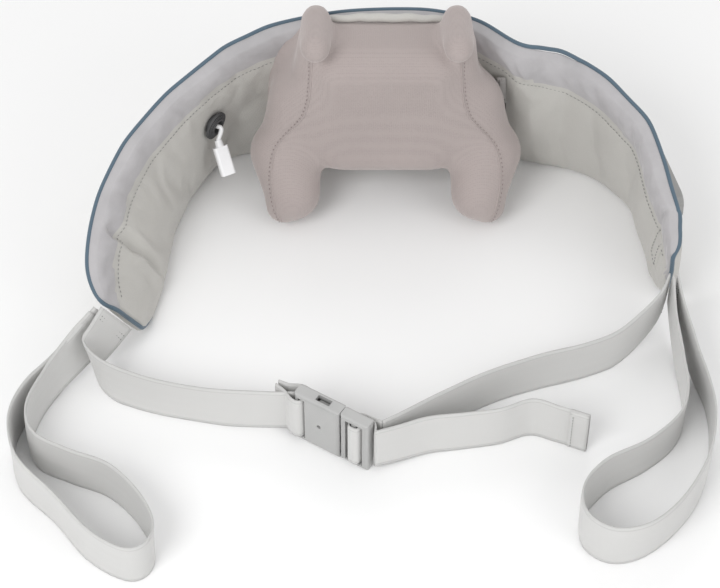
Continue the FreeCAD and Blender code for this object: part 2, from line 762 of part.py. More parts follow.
def make_wheel():
    body = new_body("wheel_body")
    radius = dim("gear_module") * dim("wheel_teeth") / 2
    root, tip = radius - ROOT_DROP * dim("gear_module"), radius + dim("gear_module")
    depth = DEPTH_SHAFT - dim("wheel_thick") / 2
    disc = sketch_on(body, "XZ_Plane", depth, "wheel_disc")
    draw_circle(disc, (0, 0), "gear_module * (wheel_teeth / 2 - 1.25)", "rim")
    draw_circle(disc, (0, 0), "axle_radius", "bore")
    pad(body, disc, "wheel_thick", "wheel_pad")
    tooth = sketch_on(body, "XZ_Plane", depth, "wheel_tooth")
    draw_outline(tooth, tooth_points(root - 0.2, tip, TOOTH_SHARE))
    first = pad(body, tooth, "wheel_thick", "tooth_pad")
    ring = body.newObject("PartDesign::PolarPattern", "wheel_ring")
    ring.Originals = [first]
    ring.Axis = ([f for f in body.Origin.OriginFeatures if f.Role == "Y_Axis"][0], [""])
    ring.Angle = 360
    ring.Occurrences = int(dim("wheel_teeth"))
    body.Tip = ring
    doc.recompute()
    socket = post("crank_socket", "crank_radius", dim("crank_throw"), 0, depth - 1, 20)
    wheel = cut("wheel", body, [socket])
    wheel.Placement = FreeCAD.Placement(V(0, 0, PIVOT[1]), FreeCAD.Rotation())
    keep("worm_wheel", wheel)
    keep("wheel_axle", post("axle", "axle_radius", 0, PIVOT[1], 11.4,
                            DEPTH_SHAFT - 11.4 + dim("wheel_thick") / 2))
    crank_start = depth + 1
    keep("crank_pin", cut("crank", post("crank_solid", "crank_radius", dim("crank_throw"), PIVOT[1],
                                        crank_start,
                                        38.0 - crank_start),
                          [post("crank_relief", "axle_radius", 0, PIVOT[1], 11.4, 17.1)]))
    bushes = [bored("bush%d" % k, "bush_radius", "axle_radius + run_gap", "bush_length",
                    (0, -depth, PIVOT[1]), "-Y")
              for k, depth in enumerate((11.4, 16.8))]
    keep("axle_bushes", group("bush_set", bushes))


# ---------------------------------------------------------------- kneading arms and heads

ARM_OUTLINE = [
    (-10, 86), (10, 86), (10, 94), (46, 94), (58, 70), (68, 44), (80, 46), (70, 78), (60, 99), (59, 126),
    (56, 153), (47, 153), (51, 126), (48, 104), (10, 104), (10, 112), (-10, 112),
]
ARM_DEPTH = {"left": 31.0, "right": 34.6}
HUB_DEPTH = 30.7
UPPER_FINGER = [((51, -14, 151), 10.4), ((50, -52, 158), 10.4)]
LOWER_PAW = [((74, -42, 50), 25.0), ((69, -66, 25), 19.5)]


def make_arm(name, sign):
    """A flat crescent lever: pivot hub, tail with its crank window, upper limb and lower limb."""
    body = new_body(name + "_arm_body")
    outline = sketch_on(body, "XZ_Plane", ARM_DEPTH[name], name + "_arm_outline")
    points = [(sign * x, z) for x, z in ARM_OUTLINE]
    draw_outline(outline, points if sign > 0 else points[::-1])
    pad(body, outline, "arm_thick", name + "_arm_pad")
    window = sketch_on(body, "XZ_Plane", ARM_DEPTH[name] + dim("arm_thick"), name + "_window")
    corner = (-dim("window_half_width"), PIVOT[1] - dim("window_half_height"))
    draw_rectangle(window, corner, ("2 * window_half_width", "2 * window_half_height"), "window")
    pocket(body, window, "arm_thick", name + "_window_pocket")
    x = sign * PIVOT[0]
    hub = post(name + "_hub", "hub_radius", x, PIVOT[1], HUB_DEPTH, "hub_length")
    bore = post(name + "_hub_bore", "arm_bush_radius", x, PIVOT[1], HUB_DEPTH, "hub_length")
    arm = cut(name + "_arm", fuse(name + "_arm_whole", [body, hub]), [bore])
    keep(name + "_arm", arm)
    keep(name + "_arm_bush", bored(name + "_bush", "arm_bush_radius", "pin_radius + run_gap", "hub_length",
                                   (x, -HUB_DEPTH, PIVOT[1]), "-Y"))
    return arm


def chain(name, balls, grow, sign):
    """Balls joined by the cones that touch them both."""
    solids = [sphere("%s_ball%d" % (name, k), radius + grow, (sign * at[0], at[1], at[2]))
              for k, (at, radius) in enumerate(balls)]
    for k in range(len(balls) - 1):
        (a, ra), (b, rb) = balls[k], balls[k + 1]
        a, b = V(sign * a[0], a[1], a[2]), V(sign * b[0], b[1], b[2])
        run = b - a
        lean = (ra - rb) / run.Length
        flat = math.sqrt(1 - lean * lean)
        ra, rb, ahead = ra + grow, rb + grow, V(run).normalize()
        first, last = a + ahead * (ra * lean), b + ahead * (rb * lean)
        if abs(ra - rb) < 1e-6:
            solids.append(cylinder("%s_rod%d" % (name, k), ra, (last - first).Length, tuple(first),
                                   tuple(run)))
        else:
            solids.append(cone("%s_cone%d" % (name, k), ra * flat, rb * flat, (last - first).Length,
                               tuple(first), tuple(run)))
    return fuse(name + "_chain", solids)


def make_heads(name, sign, arm):
    """The padded heads moulded round the arm's ends, each under its own sleeve of cover fabric."""
    sleeve = dim("sleeve_thick")
    for part, balls in (("upper_finger", UPPER_FINGER), ("lower_paw", LOWER_PAW)):
        label = "%s_%s" % (name, part)
        inner = chain(label + "_inner", balls, -sleeve - dim("head_gap"), sign)
        keep(label, cut(label + "_head", inner, [arm]))
        outside, inside = chain(label + "_out", balls, 0.0, sign), chain(label + "_in", balls, -sleeve,
                                                                         sign)
        keep(label + "_sleeve", cut(label + "_sleeve_cut", outside, [inside, arm]))


def make_centre_cover():
    """The cover's middle: a strip that runs over the gearbox's top and down its front."""
    body = new_body("centre_cover_body")
    outline = sketch_on(body, "YZ_Plane", -dim("cover_half_width"), "centre_cover_outline")
    thick = dim("cover_thick")
    inner = [(-9.6, 138.6), (-48.6, 138.6), (-48.6, 72), (-56, 50)]
    outer = [(-56 - thick, 50), (-48.6 - thick, 72), (-48.6 - thick, 138.6 + thick), (-9.6, 138.6 + thick)]
    draw_outline(outline, inner + outer)
    pad(body, outline, "2 * cover_half_width", "centre_cover_pad")
    keep("centre_cover", body)


# ---------------------------------------------------------------- electrics

def make_electrics():
    keep("battery_cell", cylinder("cell", "cell_radius", "cell_length", (-32.5, -CELL[0], CELL[1]), "X"))
    body = new_body("board_body")
    made = sketch_on(body, "XZ_Plane", 13.0, "board_outline")
    draw_rectangle(made, (-34, 61.5), (68, 24), "board")
    pad(body, made, "board_thick", "board_pad")
    keep("control_board", body)


def make_lead():
    """Grommet in the left wing, the short lead that hangs out of it, and its inline connector."""
    cup = cylinder("grommet_cup", "grommet_radius", 1.8, (0, 0, 0))
    ribs = [cylinder("grommet_rib%d" % k, r, z, (0, 0, 0)) for k, (r, z) in enumerate(((9, 2.6), (7, 3.4)))]
    neck = cylinder("grommet_neck", "grommet_radius - 3.2", 9, (0, 0, -9))
    hole = cylinder("grommet_hole", "grommet_bore", 30, (0, 0, -15))
    place(keep("cable_grommet", cut("grommet", fuse("grommet_whole", [cup, neck] + ribs), [hole])),
          GROMMET_SPOT)
    inside, lip, droop = (GROMMET_SPOT.multVec(V(*p)) for p in ((0, 0, -8), (0, 0, 3), (-1.5, -2.5, 8)))
    head, tail = V(-124, -41.2, 57), V(-115.5, -57.5, 32)
    run = (tail - head).normalize()
    points = (inside, lip, droop, head - run * 3, head)
    keep("charging_cable", chain("lead", [(tuple(p), dim("cable_radius")) for p in points], 0.0, 1))
    width, thick, length = (dim("connector_" + n) for n in ("width", "thick", "length"))
    shell = box("connector_block", ("connector_width", "connector_thick", "connector_length"),
                (0, 0, length / 2 + 5))
    soft = rounded("connector_round", shell, 2.0, lambda e: along(e, (0, 0, 1)))
    relief = cone("connector_relief", 2.6, 3.2, 5, (0, 0, 0), "Z")
    mouth = box("connector_mouth", (8.9, 3.2, 7), (0, 0, length + 5 - 3.4))
    sleeve = cylinder("connector_sleeve", "cable_radius + 0.7", 6, (0, 0, -1))
    across = run.cross(V(0, 0, 1)).normalize()
    turn = FreeCAD.Rotation(across, run.cross(across), run, "ZXY")
    spot = FreeCAD.Placement(head - run * 0.6, turn)
    place(keep("connector_shell", cut("connector", fuse("connector_whole", [soft, relief]),
                                      [mouth, sleeve])), spot)
    metal = rounded("socket_metal", box("socket_metal_block", (8.9, 3.2, 6.9), (0, 0, length + 5 - 3.45)),
                    1.4,
                    lambda e: along(e, (0, 0, 1)))
    inside = box("socket_inside", (8.2, 2.5, 7), (0, 0, length + 5 - 3.0))
    tongue = box("socket_tongue", (6.4, 0.8, 5.5), (0, 0, length + 5 - 4.0))
    place(keep("connector_socket", fuse("socket_whole", [cut("socket_tube", metal, [inside]), tongue])),
          spot)


POD_SPOT = wing_spot(18.5, 52.0, 1, 1.8)
BUTTONS = [("power_button", -19), ("mode_button", 0), ("heat_button", 19)]


def make_pod():
    """Control pod on the outer face of the right wing: base, cover, screws and three buttons."""
    length, width, base, height = (dim("pod_" + n) for n in ("length", "width", "base", "height"))
    top = base + height
    plate = box("pod_plate", ("pod_length", "pod_width", "pod_base"), (0, 0, base / 2))
    corners = rounded("pod_plate_round", plate, 8.0, lambda e: along(e, (0, 0, 1)))
    place(keep("pod_base", cut("pod_base_cut", corners, [
        cylinder("pod_base_hole%d" % k, "screw_radius + 0.1", 6,
                 (x, 0, -1)) for k, x in enumerate((-9.5, 9.5))] + [
        cylinder("pod_base_sink%d" % k, 2.0, 1.6,
                 (x, 0, -1)) for k, x in enumerate((-9.5, 9.5))])), POD_SPOT)
    shell = box("pod_block", ("pod_length", "pod_width", "pod_height"), (0, 0, base + height / 2))
    room = box("pod_room", ("pod_length - 2 * pod_wall", "pod_width - 2 * pod_wall",
                            "pod_height - pod_wall"),
               (0, 0, base + (height - dim("pod_wall")) / 2))
    hollow = cut("pod_hollow", rounded("pod_round", shell, 8.0, lambda e: along(e, (0, 0, 1))),
                 [rounded("pod_room_round", room, 6.6, lambda e: along(e, (0, 0, 1)))])
    posts = [cylinder("pod_post%d" % k, 2.4, "pod_height - pod_wall / 2", (x, 0, base)) for k,
             x in enumerate((-9.5, 9.5))]
    taps = [cylinder("pod_tap%d" % k, "screw_radius", 3.5, (x, 0, base - 0.5)) for k,
            x in enumerate((-9.5, 9.5))]
    holes = [cylinder("pod_hole%d" % k, "button_radius - 0.5 + button_gap", 8, (x, 0, base + 1)) for k,
             (_, x) in enumerate(BUTTONS)]
    place(keep("pod_cover", cut("pod_cover_cut", fuse("pod_cover_whole", [hollow] + posts), taps + holes)),
          POD_SPOT)
    screws = [fuse("pod_screw%d" % k, [cylinder("pod_shank%d" % k, "screw_radius", 4, (x, 0, 0.4)),
                                       cylinder("pod_head%d" % k, 1.9, 0.6,
                                                (x, 0, 0))]) for k, x in enumerate((-9.5, 9.5))]
    place(keep("pod_screws", group("pod_screw_set", screws)), POD_SPOT)
    for label, x in BUTTONS:
        cap = cylinder(label + "_cap", "button_radius - 0.5", top + 1.0 - base - 1.0, (x, 0, base + 1.0))
        flange = cylinder(label + "_flange", "button_radius + 0.6", 1, (x, 0, base + 1.0))
        place(keep(label, fuse(label + "_whole", [cap, flange])), POD_SPOT)


ZIP_SPOT = wing_spot(12.72, 70.0, -1, 1.3)
SLIDER_LOW = 0.0
BRIDGE_MIDDLE = 4.2
PULL_PIN = SLIDER_LOW + 0.6
PULL_THICK = 1.0


def make_zip():
    """Zip beside the kneading unit: tape, coil, slider and the pull that hangs from its bridge."""
    thick, coil = dim("zip_thick"), dim("coil_height")
    place(keep("zip_tape", box("tape", ("zip_width", "zip_length", "zip_thick"), (0, 0, thick / 2))),
          ZIP_SPOT)
    place(keep("zip_coil", box("coil", ("coil_width", "zip_length - 4", "coil_height"),
                               (0, 0, thick + coil / 2))), ZIP_SPOT)
    body = box("slider_block", (6.4, 8, 3.0), (0, SLIDER_LOW, thick + 0.2 + 1.5))
    soft = rounded("slider_round", body, 1.2, lambda e: along(e, (0, 0, 1)))
    channel = box("slider_channel", ("coil_width + 0.6", 10, "coil_height + 0.2"),
                  (0, SLIDER_LOW, thick + 0.1 + (coil + 0.2) / 2))
    feet = [box("bridge_foot%d" % k, (2.4, 1.2, 2.4), (0, SLIDER_LOW + y, thick + 4.2)) for k,
            y in enumerate((-2.6, 2.6))]
    roof = box("bridge_roof", (2.4, 6.4, 0.9), (0, SLIDER_LOW, thick + 5.6))
    place(keep("zip_slider", fuse("slider", [cut("slider_body", soft, [channel]), roof] + feet)), ZIP_SPOT)
    pin = cylinder("pull_pin", PULL_THICK / 2, 5.2, (-2.6, PULL_PIN, thick + BRIDGE_MIDDLE), "X")
    ring = box("pull_ring", (5.2, 5.4, PULL_THICK), (0, PULL_PIN + 2.7, thick + BRIDGE_MIDDLE))
    eye = box("pull_eye", (3.2, 3.8, 2.0), (0, PULL_PIN + 1.9, thick + BRIDGE_MIDDLE))
    tab = box("pull_tab", (4.4, 7.2, PULL_THICK), (0, PULL_PIN + 8.8, thick + BRIDGE_MIDDLE))
    place(keep("zip_pull", fuse("pull", [cut("pull_frame", fuse("pull_whole", [ring, tab]), [eye]), pin])),
          ZIP_SPOT)


# ---------------------------------------------------------------- everything

def build_all():
    make_shawl()
    for label, plan, start, finish in (
        ("left_hand_loop", LEFT_LOOP, LEFT_TIP, LEFT_TIP),
        ("right_hand_loop", RIGHT_LOOP, RIGHT_TIP, RIGHT_TIP),
        ("left_waist_strap", LEFT_STRAP, LEFT_TIP, BUCKLE),
        ("right_waist_strap", RIGHT_STRAP, RIGHT_TIP, BUCKLE),
        ("strap_tail", STRAP_TAIL, BUCKLE, None),
    ):
        keep(label, webbing(label, plan, start, finish))
    make_buckle()
    make_back_plate()
    make_rear_shell()
    make_front_shell()
    make_screws()
    make_motor()
    make_worm()
    make_wheel()
    for name, sign in (("left", -1), ("right", 1)):
        make_heads(name, sign, make_arm(name, sign))
    make_centre_cover()
    make_electrics()
    make_lead()
    make_pod()
    make_zip()


def write_parts():
    """Stops on a failed object or a bad shape, then writes one STEP file a sub-part."""
    doc.recompute()
    failed = [o.Label for o in doc.Objects if "Invalid" in o.State or "Error" in o.State]
    if failed:
        raise RuntimeError("failed to build: %s" % failed)
    for label, thing in nodes.items():
        shape = thing.Shape
        if shape.isNull() or not shape.isValid() or not shape.Solids:
            raise RuntimeError("%s is not a valid solid" % label)
    os.makedirs("parts", exist_ok=True)
    for label, thing in nodes.items():
        thing.Shape.exportStep("parts/%s.step" % label)


build_all()
write_parts()
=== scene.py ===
import json
import math
import bmesh
import bpy
import numpy as np
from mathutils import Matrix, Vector, noise
from mathutils.bvhtree import BVHTree


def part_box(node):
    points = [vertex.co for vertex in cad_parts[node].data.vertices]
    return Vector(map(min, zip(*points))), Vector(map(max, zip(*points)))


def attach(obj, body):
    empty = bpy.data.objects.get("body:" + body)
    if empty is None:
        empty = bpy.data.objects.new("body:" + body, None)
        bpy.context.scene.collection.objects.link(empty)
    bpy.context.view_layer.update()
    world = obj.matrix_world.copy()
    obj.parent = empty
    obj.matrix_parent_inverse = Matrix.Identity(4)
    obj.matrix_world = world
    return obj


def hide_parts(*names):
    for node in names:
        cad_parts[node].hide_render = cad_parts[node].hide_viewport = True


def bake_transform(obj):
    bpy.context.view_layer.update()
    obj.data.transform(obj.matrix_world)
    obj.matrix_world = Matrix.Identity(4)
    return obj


# Looks of the shiatsu neck massager: padded shawl, stretch cover, webbing, buckle, lead, zip and pod.
# Lengths are in metres unless a comment says mm, +Z is up, and the massage heads point along -Y.
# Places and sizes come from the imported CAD; this script gives the surfaces, stitching and finishes.

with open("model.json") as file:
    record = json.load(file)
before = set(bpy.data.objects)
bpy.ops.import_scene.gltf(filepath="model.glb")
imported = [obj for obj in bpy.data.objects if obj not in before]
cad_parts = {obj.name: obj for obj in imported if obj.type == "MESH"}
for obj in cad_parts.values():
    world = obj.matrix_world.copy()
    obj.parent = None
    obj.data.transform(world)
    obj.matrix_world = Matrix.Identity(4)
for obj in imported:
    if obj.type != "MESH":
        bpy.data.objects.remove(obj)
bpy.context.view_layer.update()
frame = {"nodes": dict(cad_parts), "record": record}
NODES = frame["nodes"]
MM = 0.001
UP = Vector((0, 0, 1))
BACKWARDS = Vector((0, 1, 0))
TINY = 1e-9
SIDES = (("left", -1), ("right", 1))


# ---- reading the frame

def surface(*nodes):
    """One BVH tree over several CAD nodes."""
    points, faces = [], []
    for node in nodes:
        mesh = NODES[node].data
        base = len(points)
        points += [v.co.copy() for v in mesh.vertices]
        faces += [[base + k for k in poly.vertices] for poly in mesh.polygons]
    return BVHTree.FromPolygons(points, faces)


def centre(node):
    """The middle of a CAD node's box."""
    low, high = (Vector(corner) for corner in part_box(node))
    return (low + high) / 2


# ---- meshes

def place_object(name, data):
    """A new object in the scene for a mesh, a light or a camera."""
    made = bpy.data.objects.new(name, data)
    bpy.context.scene.collection.objects.link(made)
    return made


def add_mesh(name, points, faces, material, body="root", uvs=None):
    """A smooth-shaded mesh object from points and faces that rides on a body."""
    mesh = bpy.data.meshes.new(name)
    mesh.from_pydata([tuple(p) for p in points], [], faces)
    mesh.validate()
    if uvs is not None:
        layer = mesh.uv_layers.new(name="weave")
        for loop in mesh.loops:
            layer.data[loop.index].uv = uvs[loop.vertex_index]
    mesh.polygons.foreach_set("use_smooth", [True] * len(mesh.polygons))
    piece = place_object(name, mesh)
    mesh.materials.append(material)
    if body:
        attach(piece, body)
    return piece


def grid_faces(rows, columns, closed=False):
    """Quads of a grid whose points are listed row by row; closed joins its last column to its first."""
    faces = []
    for row in range(rows - 1):
        low, high = row * columns, (row + 1) * columns
        for this in range(columns if closed else columns - 1):
            following = (this + 1) % columns
            faces.append([low + this, low + following, high + following, high + this])
    return faces


def tube_faces(rings, sides, turned=False):
    """Faces of a closed tube: quads between its rings, and a cap at each end, which turned winds backwards."""
    near, far = list(range(sides)), list(range((rings - 1) * sides, rings * sides))
    caps = [near, far[::-1]] if turned else [near[::-1], far]
    return grid_faces(rings, sides, closed=True) + caps


def apply_modifiers(piece):
    """Bakes the modifiers into the mesh."""
    depsgraph = bpy.context.evaluated_depsgraph_get()
    baked = bpy.data.meshes.new_from_object(piece.evaluated_get(depsgraph))
    old = piece.data
    piece.modifiers.clear()
    piece.data = baked
    bpy.data.meshes.remove(old)


def smooth_path(points, step):
    """A Catmull-Rom curve through points, sampled about every step."""
    points = [Vector(p) for p in points]
    padded = [points[0] * 2 - points[1]] + points + [points[-1] * 2 - points[-2]]
    out = []
    for a, b, c, d in zip(padded, padded[1:], padded[2:], padded[3:]):
        count = max(1, round((c - b).length / step))
        for k in range(count):
            t = k / count
            out.append(0.5 * (2 * b + (c - a) * t + (2 * a - 5 * b + 4 * c - d) * t * t
                              + (3 * b - a - 3 * c + d) * t * t * t))
    return out + [points[-1]]


def tube(name, path, radius, material, sides=12, body="root"):
    """A round cord along a path, with closed ends; radius may be a function of the share along it."""
    size = radius if callable(radius) else (lambda share: radius)
    points, side = [], None
    for k, p in enumerate(path):
        run = (path[min(k + 1, len(path) - 1)] - path[max(k - 1, 0)]).normalized()
        side = run.orthogonal() if side is None else side - run * side.dot(run)
        side.normalize()
        other = run.cross(side)
        r = size(k / (len(path) - 1))
        for n in range(sides):
            turn = 2 * math.pi * n / sides
            points.append(p + (side * math.cos(turn) + other * math.sin(turn)) * r)
    return add_mesh(name, points, tube_faces(len(path), sides), material, body)


def stitches(name, path, normals, material, pitch=3.2 * MM, length=2.1 * MM, radius=0.32 * MM,
             body="root"):
    """A row of separate thread stitches that lie along a path."""
    ball = bmesh.new()
    bmesh.ops.create_icosphere(ball, subdivisions=1, radius=1)
    shape = [v.co.copy() for v in ball.verts]
    index = [[v.index for v in f.verts] for f in ball.faces]
    ball.free()
    points, faces = [], []
    due, walked = 0.0, 0.0
    for a, b, normal in zip(path, path[1:], normals):
        span = (b - a).length
        while due <= walked + span and span > 0:
            spot = a.lerp(b, (due - walked) / span)
            run = (b - a).normalized()
            across = normal.cross(run).normalized()
            base = len(points)
            for corner in shape:
                flat = run * (corner.x * length / 2) + across * (corner.y * radius)
                points.append(spot + flat + normal * (corner.z * radius))
            faces += [[base + k for k in face] for face in index]
            due += pitch
        walked += span
    row = add_mesh(name, points, faces, material, body)
    return row


# ---- materials

class Shader:
    """A material under construction: nodes are added by kind, and inputs are set or linked by name."""

    def __init__(self, name, rough, **principled):
        self.material = bpy.data.materials.new(name)
        self.material.use_nodes = True
        self.tree = self.material.node_tree
        self.base = self.tree.nodes["Principled BSDF"]
        self.base.inputs["Roughness"].default_value = rough
        for key, value in principled.items():
            self.base.inputs[key.replace("_", " ")].default_value = value

    def set(self, node, name, value):
        socket = node.inputs[name]
        if isinstance(value, bpy.types.NodeSocket):
            self.tree.links.new(value, socket)
        elif isinstance(value, tuple) and len(value) == 3 and socket.type == "RGBA":
            socket.default_value = (*value, 1)
        else:
            socket.default_value = value

    def add(self, kind, inputs, output=0, **options):
        node = self.tree.nodes.new("ShaderNode" + kind)
        for key, value in options.items():
            setattr(node, key, value)
        for name, value in inputs.items():
            self.set(node, name, value)
        return node.outputs[output]

    def place(self, source="Object", scale=(1, 1, 1)):
        here = self.add("TexCoord", {}, source)
        return self.add("Mapping", {"Vector": here, "Scale": scale})

    def noise(self, vector, scale, detail=3.0):
        inputs = {"Vector": vector, "Scale": scale, "Detail": detail}
        return self.add("TexNoise", inputs)

    def ramp(self, value, low, high, start=0.0, end=1.0):
        """Remaps a value from one range to another."""
        limits = {"From Min": start, "From Max": end, "To Min": low, "To Max": high}
        return self.add("MapRange", {"Value": value, **limits})

    def math(self, operation, a, b=0.0):
        return self.add("Math", {0: a, 1: b}, operation=operation)

    def vary(self, value, color, dark, light, start, end):
        """A color between a dark and a light shade of itself, by a value between start and end."""
        return self.mix(self.ramp(value, 0.0, 1.0, start, end), shade(color, dark), shade(color, light))

    def mix(self, factor, a, b):
        node = self.tree.nodes.new("ShaderNodeMix")
        node.data_type = "RGBA"
        self.set(node, 0, factor)
        self.set(node, 6, a)
        self.set(node, 7, b)
        return node.outputs[2]

    def bump(self, height, distance, strength=1.0, normal=None):
        inputs = {"Height": height, "Distance": distance, "Strength": strength}
        if normal is not None:
            inputs["Normal"] = normal
        return self.add("Bump", inputs)

    def finish(self, color=None, rough=None, normal=None):
        for name, value in (("Base Color", color), ("Roughness", rough), ("Normal", normal)):
            if value is not None:
                self.set(self.base, name, value)
        return self.material


def shade(color, factor):
    """A color made darker or lighter."""
    return tuple(min(1.0, c * factor) for c in color)


def leather(name, color):
    """Matte leatherette: fine pebble grain, faint blotches and a soft sheen."""
    s = Shader(name, 0.55, Sheen_Weight=0.15, Sheen_Roughness=0.5)
    here = s.place()
    pebbles = {"Vector": here, "Scale": 900.0, "Randomness": 1.0}
    pebble = s.add("TexVoronoi", pebbles, "Distance", feature="DISTANCE_TO_EDGE")
    cells = s.ramp(pebble, 0.0, 1.0, 0.0, 0.18)
    blotch = s.noise(here, 22.0, 4.0)
    fine = s.noise(here, 260.0, 3.0)
    tone = s.vary(blotch, color, 0.96, 1.03, 0.3, 0.7)
    # painted shade: the grooves between the pebbles are darker
    tone = s.mix(s.ramp(cells, 0.14, 0.0), tone, shade(color, 0.72))
    normal = s.bump(cells, 0.12 * MM, 0.55)
    normal = s.bump(fine, 0.25 * MM, 0.25, normal)
    normal = s.bump(blotch, 2.2 * MM, 0.3, normal)
    return s.finish(tone, s.ramp(fine, 0.46, 0.64), normal)


def brushed_cloth(name, color):
    """The edge band: soft cloth with a fine twill and broad tonal streaks."""
    s = Shader(name, 0.85, Sheen_Weight=0.5, Sheen_Roughness=0.4)
    here = s.place()
    fibre = s.noise(s.place(scale=(1, 1, 0.25)), 1500.0, 2.0)
    streak = s.noise(here, 45.0, 3.0)
    twill = s.add("TexWave", {"Vector": here, "Scale": 420.0, "Distortion": 1.5, "Detail": 1.0}, 1)
    tone = s.vary(streak, color, 0.92, 1.05, 0.35, 0.65)
    tone = s.mix(s.ramp(fibre, 0.0, 0.25), tone, shade(color, 0.75))
    normal = s.bump(fibre, 0.1 * MM, 0.6)
    normal = s.bump(twill, 0.08 * MM, 0.4, normal)
    return s.finish(tone, s.ramp(streak, 0.78, 0.92), normal)


def stretch_mesh(name, color):
    """The kneading unit's cover: spacer mesh with staggered eyelets and a dusty sheen."""
    s = Shader(name, 0.9, Sheen_Weight=0.45, Sheen_Roughness=0.45, Sheen_Tint=(1, 0.95, 0.93, 1))
    here = s.place()
    holes = s.add("TexVoronoi", {"Vector": here, "Scale": 760.0, "Randomness": 0.25}, "Distance")
    eyelet = s.ramp(holes, 0.0, 1.0, 0.12, 0.5)
    fibre = s.noise(here, 2400.0, 2.0)
    drift = s.noise(here, 14.0, 3.0)
    tone = s.vary(drift, color, 0.95, 1.04, 0.3, 0.7)
    # painted shade: the eyelet holes are darker
    tone = s.mix(s.ramp(eyelet, 0.28, 0.0), tone, shade(color, 0.55))
    tone = s.mix(s.ramp(fibre, 0.0, 0.12), tone, shade(color, 1.3))
    normal = s.bump(eyelet, 0.18 * MM, 0.7)
    normal = s.bump(fibre, 0.08 * MM, 0.4, normal)
    return s.finish(tone, s.ramp(drift, 0.84, 0.95), normal)


RIB_PITCH = 1.1 * MM
WEFT_PITCH = 0.9 * MM
HERRINGBONE = 4.2 * MM
GROOVE = 16.4 * MM
GROOVE_WIDTH = 0.7 * MM
# The far face's UVs are moved this far up, so that the two faces don't share a place on the map.
FAR_SIDE = 0.3


def webbing_weave(name, color):
    """Flat polyester webbing: herringbone ribs along the strip, and a groove inside both selvedges."""
    s = Shader(name, 0.7, Sheen_Weight=0.3, Sheen_Roughness=0.4)
    uv = s.add("UVMap", {}, uv_map="weave")
    parts = s.tree.nodes.new("ShaderNodeSeparateXYZ")
    s.set(parts, 0, uv)
    along, across = parts.outputs[0], parts.outputs[1]
    rib = s.math("SINE", s.math("MULTIPLY", across, 2 * math.pi / RIB_PITCH))
    swing = s.math("PINGPONG", across, HERRINGBONE)
    weft = s.math("SINE", s.math("MULTIPLY", s.math("ADD", along, swing), 2 * math.pi / WEFT_PITCH))
    cloth = s.math("ADD", s.math("MULTIPLY", rib, 0.5), s.math("MULTIPLY", weft, 0.5))
    here = s.place()
    fibre = s.noise(here, 1900.0, 2.0)
    soil = s.noise(here, 18.0, 4.0)
    # painted shade and highlight: darker in the weave's hollows, lighter on its ribs
    tone = s.vary(cloth, color, 0.86, 1.04, -1.0, 1.0)
    tone = s.mix(s.ramp(soil, 0.0, 0.35, 0.4, 0.75), tone, shade(color, 0.93))
    far_side = s.math("MULTIPLY", s.math("GREATER_THAN", across, FAR_SIDE / 2), FAR_SIDE)
    from_middle = s.math("ABSOLUTE", s.math("SUBTRACT", across, far_side))
    from_groove = s.math("ABSOLUTE", s.math("SUBTRACT", from_middle, GROOVE))
    groove = s.ramp(from_groove, 1.0, 0.0, 0.0, GROOVE_WIDTH)
    # painted shade in the groove inside each selvedge
    tone = s.mix(s.math("MULTIPLY", groove, 0.5), tone, shade(color, 0.62))
    cloth = s.math("SUBTRACT", cloth, groove)
    normal = s.bump(cloth, 0.16 * MM, 0.55)
    normal = s.bump(fibre, 0.08 * MM, 0.4, normal)
    return s.finish(tone, s.ramp(fibre, 0.62, 0.8), normal)


def plastic(name, color, rough=0.42, grain=0.5):
    """Moulded plastic: spark-eroded texture, faint flow marks and a painted highlight on sharp convex edges.
    """
    s = Shader(name, rough)
    here = s.place()
    texture = s.noise(here, 1300.0, 2.0)
    flow = s.noise(here, 60.0, 3.0)
    edge = s.add("NewGeometry", {}, "Pointiness")
    tone = s.vary(flow, color, 0.95, 1.03, 0.3, 0.7)
    # painted highlight: sharp convex edges are made lighter
    tone = s.mix(s.ramp(edge, 0.0, 0.5, 0.52, 0.62), tone, shade(color, 1.18))
    normal = s.bump(texture, 0.05 * MM, grain)
    return s.finish(tone, s.ramp(flow, rough - 0.06, rough + 0.08), normal)


def metal(name, color, rough=0.3):
    """Turned or plated metal with fine scratches."""
    s = Shader(name, rough, Metallic=1.0)
    here = s.place(scale=(1, 1, 8))
    scratch = s.noise(here, 700.0, 2.0)
    stain = s.noise(s.place(), 90.0, 3.0)
    tone = s.vary(stain, color, 0.82, 1.0, 0.35, 0.7)
    return s.finish(tone, s.ramp(scratch, rough - 0.1, rough + 0.18), s.bump(scratch, 0.03 * MM, 0.5))


def rubber(name, color):
    """Matte rubber with a dusty bloom."""
    s = Shader(name, 0.75)
    here = s.place()
    bloom = s.noise(here, 120.0, 4.0)
    tone = s.vary(bloom, color, 0.85, 1.2, 0.35, 0.7)
    return s.finish(tone, s.ramp(bloom, 0.65, 0.85), s.bump(s.noise(here, 900.0, 2.0), 0.06 * MM, 0.5))


def foam(name, color):
    """Open-cell foam."""
    s = Shader(name, 0.95)
    cells = s.add("TexVoronoi", {"Vector": s.place(), "Scale": 700.0}, "Distance")
    # painted shade: the pores are darker
    tone = s.vary(cells, color, 0.7, 1.0, 0.0, 0.6)
    return s.finish(tone, None, s.bump(cells, 0.4 * MM, 0.7))


def circuit(name, color):
    """Solder mask over faint tracks."""
    s = Shader(name, 0.35)
    tones = {"Color1": color, "Color2": shade(color, 1.25), "Mortar": shade(color, 0.7)}
    tracks = s.add("TexBrick", {"Vector": s.place(), "Scale": 160.0, **tones})
    return s.finish(tracks, None, s.bump(s.noise(s.place(), 500.0), 0.05 * MM, 0.3))


